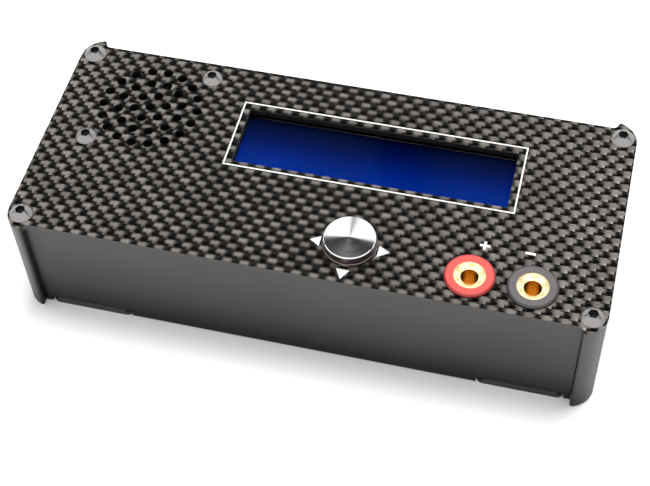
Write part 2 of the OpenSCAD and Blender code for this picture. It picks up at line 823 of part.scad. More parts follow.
module lcd_standoffs() {
  color([0.8, 0.68, 0.35])
  translate([lcd_x, lcd_y, lcd_deck_z]) corners(lcd_hole_x, lcd_hole_y) difference() {
    cylinder(h = under_z - lcd_deck_z, r = lcd_post_r);
    translate([0, 0, -eps]) cylinder(h = lcd_bite + hole_extra + eps, r = lcd_screw_d / 2);
  }
}

module lcd_screws() {
  color([0.7, 0.7, 0.72])
  translate([lcd_x, lcd_y, lcd_board_z]) corners(lcd_hole_x, lcd_hole_y)
    flat_screw(lcd_screw_d, 2 * lcd_post_r, lcd_head_h, board_t + lcd_bite);
}

// Plastic strip under the display's board and the taller socket it plugs into
module lcd_header() {
  color([0.08, 0.08, 0.08])
  difference() {
    translate([lcd_x, header_y, 0]) {
      translate([0, 0, lcd_board_z - strip_h]) linear_extrude(strip_h)
        square([header_pins * header_step, header_w], center = true);
      translate([0, 0, deck_z]) linear_extrude(lcd_board_z - strip_h - deck_z)
        square([header_pins * header_step + 2 * header_end, header_w], center = true);
    }
    header_points() translate([0, 0, lcd_board_z - strip_h - pin_down - eps])
      linear_extrude(strip_h + pin_down + 2 * eps) square(header_sq + 2 * fit, center = true);
  }
}

module lcd_pins() {
  color([0.85, 0.75, 0.4])
  header_points() translate([0, 0, lcd_board_z - strip_h - pin_down])
    linear_extrude(strip_h + pin_down + board_t + pin_up) square(header_sq, center = true);
}

// -------------------------------------------------------------------- fan

module fan_frame() {
  color([0.06, 0.06, 0.06])
  translate([fan_x, fan_y, fan_z]) {
    difference() {
      union() {
        for (z = [0, fan_t - flange_t]) translate([0, 0, z])
          linear_extrude(flange_t) rounded(fan_size, fan_size, fan_corner_r);
        cylinder(h = fan_t, r = tube_r);
      }
      translate([0, 0, -eps]) cylinder(h = fan_t + 2 * eps, r = bore_r);
      corners(fan_pitch / 2, fan_pitch / 2) translate([0, 0, -eps])
        cylinder(h = fan_t + 2 * eps, r = fan_screw_d / 2 + air);
    }
    // motor seat on four struts, with the tube that holds the bearing
    difference() {
      union() {
        cylinder(h = seat_t, r = seat_r);
        cylinder(h = bearing_z + bearing_l - fan_z + 0.1, r = bearing_r + post_wall);
        for (a = [0 : 3]) rotate(a * 90 + 45) translate([seat_r - eps, -strut_w / 2, 0])
          cube([bore_r - seat_r + 2 * eps, strut_w, seat_t]);
      }
      translate([0, 0, bearing_z - fan_z]) cylinder(h = fan_t, r = bearing_r);
    }
  }
}

module fan_bearing() {
  color([0.75, 0.6, 0.35])
  translate([fan_x, fan_y, bearing_z]) difference() {
    cylinder(h = bearing_l, r = bearing_r - fit);
    translate([0, 0, bearing_floor]) cylinder(h = bearing_l, r = fan_shaft_r + run);
  }
}

// Coil carrier on the motor seat: a disc, a core and four wound poles
module fan_stator() {
  color([0.65, 0.35, 0.15])
  translate([fan_x, fan_y, fan_z + seat_t]) difference() {
    union() {
      cylinder(h = coil_board_t, r = magnet_r - magnet_t - air);
      cylinder(h = pole_z + pole_h + coil_board_t / 2, r = core_r);
      for (a = [0 : 3]) rotate(a * 90) translate([0, -pole_w / 2, pole_z])
        cube([magnet_r - magnet_t - 2 * air, pole_w, pole_h]);
    }
    translate([0, 0, -eps]) cylinder(h = fan_t, r = bearing_r + post_wall + fit);
  }
}

module fan_impeller() {
  color([0.08, 0.08, 0.08])
  translate([fan_x, fan_y, 0]) difference() {
    union() {
      translate([0, 0, rotor_z]) cylinder(h = rotor_top - rotor_z, r = hub_d / 2);
      intersection() {
        translate([0, 0, rotor_z])
          cylinder(h = rotor_top - rotor_z - blade_t, r = bore_r - tip_gap);
        for (k = [0 : blade_count - 1]) rotate(k * 360 / blade_count)
          translate([hub_d / 2 - blade_t / 2, 0, (rotor_z + rotor_top) / 2])
            rotate([blade_tilt, 0, 0]) translate([0, -blade_t / 2, -fan_t / 2])
              cube([bore_r, blade_t, fan_t]);
      }
    }
    translate([0, 0, rotor_z - eps])
      cylinder(h = rotor_top - rotor_z - hub_top_t + eps, r = magnet_r + fit);
    translate([0, 0, rotor_top - 2 * hub_top_t])
      cylinder(h = 1.5 * hub_top_t, r = fan_shaft_r + fit);
  }
}

module fan_magnet() {
  color([0.3, 0.3, 0.32])
  translate([fan_x, fan_y, rotor_z + air]) difference() {
    cylinder(h = rotor_top - rotor_z - hub_top_t - 2 * air, r = magnet_r);
    translate([0, 0, -eps]) cylinder(h = fan_t, r = magnet_r - magnet_t);
  }
}

module fan_shaft() {
  color([0.8, 0.8, 0.82])
  translate([fan_x, fan_y, bearing_z + bearing_floor + run])
    cylinder(h = rotor_top - hub_top_t / 2 - bearing_z - bearing_floor - run,
             r = fan_shaft_r);
}

module fan_screws() {
  color([0.6, 0.6, 0.62])
  translate([fan_x, fan_y, top_z]) for (s = [-1, 1])
    translate([s * fan_pitch / 2, s * fan_pitch / 2, 0])
      button_screw(fan_screw_d, fan_head_d, head_h - 0.15,
                   plate_t + flange_t + fan_nut_t + 0.4, hex_af);
}

module fan_nuts() {
  color([0.7, 0.7, 0.72])
  translate([fan_x, fan_y, under_z - flange_t - fan_nut_t]) for (s = [-1, 1])
    translate([s * fan_pitch / 2, s * fan_pitch / 2, 0]) rotate(15)
      hex_nut(fan_nut_af, fan_screw_d, fan_nut_t);
}

module fan_plug() {
  color([0.9, 0.9, 0.85])
  translate([fan_plug_x, fan_plug_y, deck_z]) linear_extrude(fan_plug_h)
    square([fan_plug_l, fan_plug_w], center = true);
}

// Thin lead from the fan's lower flange to its plug
module fan_lead(side) {
  a = [fan_plug_x + side * fan_lead_r * 1.6, fan_y - fan_size / 2, fan_z + flange_t / 2];
  d = [fan_plug_x + side * fan_plug_l / 5, fan_plug_y, deck_z + fan_plug_h];
  tube(lead_path(a, [0, -fan_lead_bow, 0], d, [0, 0, fan_lead_bow], 10), fan_lead_r);
}

module fan_leads() {
  color([0.7, 0.1, 0.1]) {
    fan_lead(-1);
    fan_lead(1);
  }
}

// ------------------------------------------------------------------- dial

module dial_knob() {
  f = dial_gap + flange_h;
  color([0.82, 0.82, 0.84])
  translate([dial_x, dial_y, top_z]) difference() {
    rotate_extrude($fn = 96) polygon([
      [0, -hub_drop], [hub_r, -hub_drop], [hub_r, dial_gap],
      [dial_d / 2, dial_gap], [dial_d / 2, f], [cap_r - groove, f],
      [cap_r - groove, f + groove_h], [cap_r, f + groove_h], [cap_r, cap_z - chamfer],
      [cap_r - chamfer, cap_z], [0, dial_h]]);
    difference() {
      translate([0, 0, -hub_drop - eps])
        cylinder(h = hub_drop + eps + shaft_tip - top_z + bore_end, r = shaft_d / 2 + fit);
      translate([-shaft_d, flat_cut + fit, -hub_drop - 2 * eps])
        cube([2 * shaft_d, shaft_d, hub_drop + dial_h + 3 * eps]);
    }
  }
}

// Shaft with its flat and the contact disc that turns inside the encoder
module encoder_shaft() {
  color([0.75, 0.75, 0.77])
  translate([dial_x, dial_y, 0]) {
    difference() {
      translate([0, 0, disc_z - shaft_end])
        cylinder(h = shaft_tip - disc_z + shaft_end, r = shaft_d / 2);
      translate([-shaft_d, flat_cut, shaft_tip - flat_l])
        cube([2 * shaft_d, shaft_d, flat_l + eps]);
    }
    translate([0, 0, disc_z]) cylinder(h = disc_t, r = disc_r);
  }
}

// Lid with the shaft's bush, and a strap down each side
module encoder_housing() {
  color([0.6, 0.6, 0.62])
  translate([dial_x, dial_y, 0]) {
    difference() {
      union() {
        translate([0, 0, encoder_top]) cylinder(h = bush_h, r = bush_r);
        translate([0, 0, encoder_top - encoder_lid_t]) linear_extrude(encoder_lid_t)
          square(encoder_w, center = true);
      }
      translate([0, 0, encoder_top - eps])
        cylinder(h = bush_h + 2 * eps, r = shaft_d / 2 + run);
    }
    for (s = [-1, 1]) translate([s * (encoder_w - encoder_lid_t) / 2, 0, deck_z])
      linear_extrude(encoder_h) square([encoder_lid_t, strap_w], center = true);
  }
}

module encoder_base() {
  color([0.1, 0.12, 0.1])
  translate([dial_x, dial_y, deck_z]) difference() {
    linear_extrude(encoder_h - encoder_lid_t)
      square([encoder_w - 2 * encoder_lid_t, encoder_w], center = true);
    translate([0, 0, cavity_floor]) cylinder(h = encoder_h, r = cavity_r);
  }
}

// Actuator that the shaft pushes onto the click dome
module push_plunger() {
  color([0.9, 0.9, 0.9])
  translate([dial_x, dial_y, plunger_top - plunger_h]) cylinder(h = plunger_h, r = plunger_r);
}

module click_dome() {
  color([0.8, 0.8, 0.8])
  translate([dial_x, dial_y, dome_z]) cylinder(h = dome_t, r = dome_r);
}

// --------------------------------------------------------- output sockets

module socket_body() {
  difference() {
    translate([0, 0, top_z]) rotate_extrude() polygon([
      [0, -barrel_l], [barrel_d / 2, -barrel_l], [barrel_d / 2, 0],
      [collar_d / 2, 0], [collar_d / 2, collar_h - collar_edge],
      [collar_d / 2 - collar_edge, collar_h], [0, collar_h]]);
    translate([0, 0, top_z - barrel_l - eps])
      cylinder(h = barrel_l + collar_h + 2 * eps, r = contact_r);
    translate([0, 0, contact_top - rim_t - fit])
      cylinder(h = rim_t + collar_h, r = rim_r + fit);
  }
}

module red_socket() {
  color([0.85, 0.12, 0.1]) translate([socket_xs[0], socket_y, 0]) socket_body();
}

module black_socket() {
  color([0.12, 0.12, 0.13]) translate([socket_xs[1], socket_y, 0]) socket_body();
}

// Plated contact: rim, lead-in funnel, plug bore and solder tail
module socket_contacts() {
  color([0.9, 0.7, 0.3])
  for (x = socket_xs) translate([x, socket_y, 0]) difference() {
    union() {
      translate([0, 0, contact_top - rim_t]) cylinder(h = rim_t, r = rim_r);
      translate([0, 0, top_z - contact_l])
        cylinder(h = contact_l + contact_top - top_z - eps, r = contact_r - fit);
      translate([0, 0, tail_z]) cylinder(h = tail_l + eps, r = tail_r);
    }
    translate([0, 0, top_z - plug_depth]) cylinder(h = plug_depth + collar_h, r = plug_d / 2);
    translate([0, 0, top_z]) rotate_extrude() polygon([
      [0, -eps], [plug_d / 2, -eps], [plug_d / 2, 0],
      [rim_r - rim_edge, contact_top - top_z], [rim_r - rim_edge, collar_h + eps],
      [0, collar_h + eps]]);
    // three staking marks in the funnel
    for (a = [0 : 2]) rotate(90 + a * 120)
      translate([(plug_d / 2 + rim_r) / 2 - mark_w / 2, -mark_l / 2, mark_z])
        cube([mark_w, mark_l, collar_h]);
  }
}

module socket_nuts() {
  color([0.75, 0.75, 0.77])
  for (x = socket_xs) translate([x, socket_y, under_z - washer_t - nut_t])
    hex_nut(nut_af, barrel_d + 2 * fit, nut_t);
}

module socket_washers() {
  color([0.85, 0.85, 0.87])
  for (x = socket_xs) translate([x, socket_y, under_z - washer_t]) difference() {
    cylinder(h = washer_t, r = nut_af / 2 + washer_lap);
    translate([0, 0, -eps]) cylinder(h = washer_t + 2 * eps, r = barrel_d / 2 + slip);
  }
}

// Lead from a socket's tail down to its pad on the main board
module socket_lead(x) {
  a = [x, socket_y, tail_z];
  d = [x, socket_y + lead_reach, deck_z];
  bow = (tail_z - deck_z) * 0.75;
  tube(lead_path(a, [0, 0, -bow], d, [0, 0, bow], 14), lead_r);
}

module red_lead() {
  color([0.8, 0.1, 0.1]) socket_lead(socket_xs[0]);
}

module black_lead() {
  color([0.1, 0.1, 0.1]) socket_lead(socket_xs[1]);
}

// ------------------------------------------------------------- main board

module main_board() {
  color([0.05, 0.35, 0.2])
  difference() {
    translate([0, 0, board_z]) linear_extrude(board_t)
      square([2 * board_half_l, 2 * board_half_w], center = true);
    corners(stand_x, stand_y) translate([0, 0, board_z - eps])
      cylinder(h = board_t + 2 * eps, r = screw_d / 2 + slip);
    sink_legs() translate([0, 0, board_z - eps])
      cylinder(h = board_t + 2 * eps, r = sink_screw_r + slip);
    port_pin_points() translate([-pin_sq / 2 - fit, port_back - port_tail - fit, board_z - eps])
      cube([pin_sq + 2 * fit, pin_sq + 2 * fit, board_t + 2 * eps]);
  }
}

module board_standoffs() {
  color([0.78, 0.78, 0.8])
  corners(stand_x, stand_y) difference() {
    union() {
      translate([0, 0, floor_z]) cylinder(h = standoff_h, r = stand_r);
      translate([0, 0, foot_t]) cylinder(h = sheet_t + eps, r = stud_r);
    }
    translate([0, 0, foot_t + stud_gap]) cylinder(h = standoff_h + sheet_t, r = screw_d / 2);
  }
}

module board_screws() {
  color([0.7, 0.7, 0.72])
  corners(stand_x, stand_y) translate([0, 0, deck_z]) mirror([0, 0, 1])
    flat_screw(screw_d, 2 * board_head_r, board_head_h, board_screw_l);
}

module sink_legs() {
  for (s = [-1, 1]) translate([sink_x + s * leg_x, sink_y, 0]) children();
}

module heat_sink() {
  color([0.75, 0.76, 0.78])
  difference() {
    union() {
      translate([sink_x - sink_l / 2, sink_y - sink_w / 2, sink_z]) {
        cube([sink_l, sink_w, sink_base]);
        for (k = [0 : fin_count - 1])
          translate([k * (sink_l - fin_t) / (fin_count - 1), 0, sink_base - eps])
            cube([fin_t, sink_w, sink_top - sink_z - sink_base + eps]);
      }
      sink_legs() translate([0, 0, deck_z]) cylinder(h = transistor_h + eps, r = leg_r);
    }
    sink_legs() translate([0, 0, deck_z - eps])
      cylinder(h = sink_bite + 2 * eps, r = sink_screw_r);
  }
}

module heat_sink_screws() {
  color([0.7, 0.7, 0.72])
  sink_legs() translate([0, 0, board_z])
    flat_screw(2 * sink_screw_r, 2 * sink_head_r, sink_head_h, board_t + sink_bite);
}

module power_transistors() {
  color([0.1, 0.1, 0.1])
  for (x = [-1, 1], y = [-1, 1])
    translate([sink_x + x * (transistor_l + transistor_gap_x) / 2,
               sink_y + y * (transistor_w + transistor_gap_y) / 2, deck_z])
      linear_extrude(transistor_h) square([transistor_l, transistor_w], center = true);
}

module choke_points() {
  for (k = [0, 1]) translate([choke_x + k * choke_pitch, choke_y, deck_z]) children();
}

module choke_cores() {
  color([0.75, 0.7, 0.3])
  choke_points() translate([0, 0, choke_wire + fit]) difference() {
    cylinder(h = choke_h, r = choke_r - choke_wire - slip);
    translate([0, 0, -eps])
      cylinder(h = choke_h + 2 * eps, r = choke_hole_r + choke_wire + slip);
  }
}

// Turns of heavy wire, each a flat loop around the core's section
module choke_windings() {
  loop_l = choke_r - choke_hole_r;
  loop_h = choke_h + 2 * (choke_wire + fit);
  color([0.75, 0.4, 0.2])
  choke_points() for (k = [0 : choke_turns - 1]) rotate(k * 360 / choke_turns)
    translate([choke_hole_r, -choke_wire / 2, 0]) difference() {
      cube([loop_l, choke_wire, loop_h]);
      translate([choke_wire, -eps, choke_wire])
        cube([loop_l - 2 * choke_wire, choke_wire + 2 * eps, choke_h + 2 * fit]);
    }
}

// Cans with the rolled bead above their base
module capacitors() {
  color([0.15, 0.15, 0.3])
  for (k = [0 : can_count - 1]) translate([can_x + k * can_pitch, can_y, deck_z])
    rotate_extrude() polygon([
      [0, 0], [can_r, 0], [can_r, can_bead_z - can_bead], [can_r - can_bead, can_bead_z],
      [can_r, can_bead_z + can_bead], [can_r, can_h - can_bead],
      [can_r - can_bead, can_h], [0, can_h]]);
}

// Square controller with its leads, and a row of small driver chips
module logic_chips() {
  color([0.12, 0.12, 0.12]) {
    translate([chip_x, chip_y, deck_z]) {
      linear_extrude(chip_h) square(chip_w, center = true);
      for (a = [0 : 3]) rotate(a * 90) for (k = [0 : chip_leads - 1])
        translate([chip_w / 2 - fit, (k - (chip_leads - 1) / 2) * chip_lead_pitch
                   - chip_lead_w / 2, 0])
          cube([chip_lead_out + fit, chip_lead_w, chip_lead_t]);
    }
    for (k = [0 : 2]) translate([driver_x + k * can_pitch, driver_y, deck_z]) {
      linear_extrude(driver_h) square([driver_l, driver_w], center = true);
      for (m = [0, 1]) mirror([0, m]) for (j = [-1.5 : 1.5])
        translate([j * driver_lead_pitch - chip_lead_w / 2, driver_w / 2 - fit, 0])
          cube([chip_lead_w, chip_lead_out + fit, chip_lead_t]);
    }
  }
}

module buzzer() {
  color([0.07, 0.07, 0.07])
  translate([buzzer_x, dial_y, deck_z]) difference() {
    cylinder(h = buzzer_h, r = buzzer_r);
    translate([0, 0, buzzer_h / 2]) cylinder(h = buzzer_h, r = buzzer_r / 6);
  }
}

// Blade fuse standing on its two blades
module fuse() {
  color([0.8, 0.5, 0.1])
  translate([fuse_x, dial_y, deck_z]) {
    translate([0, 0, fuse_lift]) linear_extrude(fuse_h) square([fuse_l, fuse_w], center = true);
    for (s = [-1, 1]) translate([s * (fuse_l / 2 - fuse_blade_w / 2 - 0.3), 0, 0])
      linear_extrude(fuse_lift + eps) square([fuse_blade_w, fuse_blade_t], center = true);
  }
}

// Moulded inlet with a round collar that reaches into the left cheek
module inlet_housing() {
  color([0.05, 0.05, 0.05])
  difference() {
    union() {
      translate([inlet_x, inlet_y - inlet_w / 2, deck_z]) cube([inlet_l, inlet_w, inlet_h]);
      translate([inlet_face_x, inlet_y, inlet_z]) rotate([0, 90, 0])
        cylinder(h = inlet_x - inlet_face_x + eps, r = inlet_collar_r);
    }
    translate([inlet_face_x - eps, inlet_y, inlet_z]) rotate([0, 90, 0])
      cylinder(h = inlet_depth + eps, r = inlet_bore_d / 2);
    translate([inlet_face_x + inlet_depth - eps, inlet_y, inlet_z]) rotate([0, 90, 0])
      cylinder(h = inlet_pin_seat + eps, r = inlet_pin_d / 2 + fit);
  }
}

module inlet_pin() {
  color([0.85, 0.85, 0.87])
  translate([inlet_face_x + inlet_pin_in, inlet_y, inlet_z]) rotate([0, 90, 0])
    cylinder(h = inlet_depth + inlet_pin_seat - inlet_pin_in, r = inlet_pin_d / 2);
}

// ---------------------------------------------------------- balance ports

// Shroud of one port: open at the rear, keyed by two slots in its upper wall
module port(i) {
  w = port_w(port_cells[i]);
  color([0.93, 0.92, 0.88])
  translate([port_x(i), 0, deck_z]) difference() {
    translate([-w / 2, port_back, 0]) cube([w, port_depth, port_h]);
    translate([-w / 2 + port_wall, port_front - cavity_depth, port_wall])
      cube([w - 2 * port_wall, cavity_depth + eps, port_h - 2 * port_wall]);
    for (s = [-1, 1]) translate([s * (w / 2 - key_in) - key_w / 2, port_front - tip_depth,
                                 port_h - port_wall - eps])
      cube([key_w, tip_depth + eps, port_wall + 2 * eps]);
    for (k = [0 : port_cells[i]])
      translate([(k - port_cells[i] / 2) * pin_pitch, port_back - eps, port_h / 2])
        translate([-pin_sq / 2 - fit, 0, -pin_sq / 2 - fit])
          cube([pin_sq + 2 * fit, port_depth, pin_sq + 2 * fit]);
  }
}

module port_pin_points() {
  for (i = [0 : len(port_cells) - 1], k = [0 : port_cells[i]])
    translate([port_x(i) + (k - port_cells[i] / 2) * pin_pitch, 0, 0]) children();
}

// Square pins, bent down behind the shrouds and through the board
module port_pins() {
  color([0.85, 0.82, 0.7])
  port_pin_points() {
    translate([-pin_sq / 2, port_back - port_tail, port_pin_z - pin_sq / 2])
      cube([pin_sq, port_pin_y - port_back + port_tail, pin_sq]);
    translate([-pin_sq / 2, port_back - port_tail, board_z - port_tail])
      cube([pin_sq, pin_sq, port_pin_z - board_z + port_tail]);
  }
}

top_plate();
channel();
left_cheek();
right_cheek();
rubber_feet();
plate_screws();
base_screws();
window_lens();
lcd_bezel();
lcd_glass();
lcd_backlight();
lcd_board();
lcd_standoffs();
lcd_screws();
lcd_header();
lcd_pins();
fan_frame();
fan_impeller();
fan_magnet();
fan_shaft();
fan_bearing();
fan_stator();
fan_screws();
fan_nuts();
fan_plug();
fan_leads();
dial_knob();
encoder_shaft();
encoder_housing();
encoder_base();
push_plunger();
click_dome();
red_socket();
black_socket();
socket_contacts();
socket_nuts();
socket_washers();
red_lead();
black_lead();
main_board();
board_standoffs();
board_screws();
heat_sink();
heat_sink_screws();
power_transistors();
choke_cores();
choke_windings();
capacitors();
logic_chips();
buzzer();
fuse();
inlet_housing();
inlet_pin();
port(0);  // port_two
port(1);  // port_three
port(2);  // port_four
port(3);  // port_five
port(4);  // port_six
port_pins();
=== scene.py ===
import json
import math

import bmesh
import bpy
import numpy as np
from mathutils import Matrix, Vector

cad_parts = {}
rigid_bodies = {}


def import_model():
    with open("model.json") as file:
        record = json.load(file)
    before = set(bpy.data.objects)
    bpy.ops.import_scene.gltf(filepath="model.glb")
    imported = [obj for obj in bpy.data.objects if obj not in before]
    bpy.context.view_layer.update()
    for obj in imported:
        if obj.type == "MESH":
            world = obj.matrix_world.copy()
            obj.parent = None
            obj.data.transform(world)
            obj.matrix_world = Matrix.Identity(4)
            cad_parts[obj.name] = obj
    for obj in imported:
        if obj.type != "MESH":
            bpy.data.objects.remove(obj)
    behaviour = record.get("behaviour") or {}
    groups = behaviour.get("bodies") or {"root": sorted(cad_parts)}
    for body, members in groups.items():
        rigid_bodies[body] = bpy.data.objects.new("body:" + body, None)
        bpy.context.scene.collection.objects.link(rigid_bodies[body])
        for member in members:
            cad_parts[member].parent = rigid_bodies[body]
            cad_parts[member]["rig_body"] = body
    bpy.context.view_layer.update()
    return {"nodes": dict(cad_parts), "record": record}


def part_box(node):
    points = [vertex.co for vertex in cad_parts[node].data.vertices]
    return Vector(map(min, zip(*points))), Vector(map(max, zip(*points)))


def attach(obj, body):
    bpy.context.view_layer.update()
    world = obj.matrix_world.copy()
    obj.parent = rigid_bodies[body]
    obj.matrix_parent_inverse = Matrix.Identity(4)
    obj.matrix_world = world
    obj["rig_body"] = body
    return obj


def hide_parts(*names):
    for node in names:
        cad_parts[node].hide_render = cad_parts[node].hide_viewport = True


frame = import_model()
scene = bpy.context.scene
nodes = frame["nodes"]
mm = 0.001
print("frame loaded:", len(nodes), "nodes")

# places that several pieces share, all in metres
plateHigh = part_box("top_plate")[1]
topZ = plateHigh.z
dialLow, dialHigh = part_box("dial_knob")
lcdLow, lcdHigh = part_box("lcd_glass")
redLow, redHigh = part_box("red_socket")
blackLow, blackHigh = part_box("black_socket")


def middle(low, high):
    return (low.x + high.x) / 2, (low.y + high.y) / 2


def linear(hexColour, share=1.0):
    # one sRGB hex colour as linear RGBA, made lighter or darker by share
    parts = [int(hexColour[i:i + 2], 16) / 255 for i in (1, 3, 5)]
    parts = [c / 12.92 if c <= 0.04045 else ((c + 0.055) / 1.055) ** 2.4 for c in parts]
    return [c * share for c in parts] + [1.0]


def addNode(tree, kind, *values, stops=(), **settings):
    # settings first, then sockets in order or by name: a node or socket is linked, a value is
    # set and a hex colour is turned; stops are (position, colour) pairs of a colour ramp
    node = tree.nodes.new("ShaderNode" + kind)
    sockets = list(zip(node.inputs, values))
    for name, value in settings.items():
        if hasattr(node, name):
            setattr(node, name, value)
    for name, value in settings.items():
        if not hasattr(node, name):
            named = [s for s in node.inputs if s.enabled and s.name == name.replace("_", " ")]
            sockets.append((named[0], value))
    for socket, value in sockets:
        if isinstance(value, bpy.types.Node):
            value = next(o for o in value.outputs if o.enabled)
        if isinstance(value, bpy.types.NodeSocket):
            tree.links.new(value, socket)
        elif value is not None:
            socket.default_value = linear(value) if isinstance(value, str) else value
    for number, (place, colour) in enumerate(stops):
        ramp = node.color_ramp.elements
        while len(ramp) < len(stops):
            ramp.new(1.0)
        ramp[number].position = place
        ramp[number].color = linear(colour) if isinstance(colour, str) else colour
    return node


def newMaterial(name):
    material = bpy.data.materials.new(name)
    material.use_nodes = True
    material.node_tree.nodes.clear()
    return material, material.node_tree


def endMaterial(tree, colour, roughness, **shaderValues):
    # the surface itself: a uniform value sits on its own socket, the rest are links
    shader = addNode(tree, "BsdfPrincipled", Base_Color=colour, Roughness=roughness, **shaderValues)
    addNode(tree, "OutputMaterial", Surface=shader)


def grained(name, colour, second, roughness, grain, bump, metallic=0.0, stretch=(1, 1, 1),
            spread=0.08, **shaderValues):
    # colour, gloss and relief all follow one fine noise: grain is its size and bump its depth, mm
    material, tree = newMaterial(name)
    place = addNode(tree, "TexCoord").outputs["Object"]
    scaled = addNode(tree, "Mapping", place, Scale=[s / (grain * mm) for s in stretch])
    noise = addNode(tree, "TexNoise", scaled, Scale=1.0, Detail=3.0, Roughness=0.55).outputs[0]
    mixed = addNode(tree, "Mix", data_type="RGBA", Factor=noise, A=colour, B=second)
    gloss = addNode(tree, "MapRange", noise, 0.3, 0.7, roughness - spread, roughness + spread)
    relief = addNode(tree, "Bump", Strength=0.6, Distance=bump * mm, Height=noise)
    endMaterial(tree, mixed, gloss, Metallic=metallic, Normal=relief, **shaderValues)
    return material


weave = {
    "periodX": 3.95,     # mm, two warp tows
    "periodY": 3.915,    # mm, two weft tows
    "shiftX": -0.1353,   # part of a period
    "shiftY": 0.1902,
    "strand": 0.17,      # mm, a bundle of filaments as coarse as the lens shows it
    "weft": 0.53,        # tone of a weft crossing, from 0 black to 1 white
    "warp": 0.17,        # tone of a warp crossing
    "gap": 0.05,         # tone where a warp tow dives under
    # painted highlight: flank sets how much lighter one flank of each warp tow is drawn
    "flank": 0.95,       # how strongly one flank of a warp tow is lit, towards the case's ends
    "uneven": 0.11,      # how much one crossing differs from the next
}


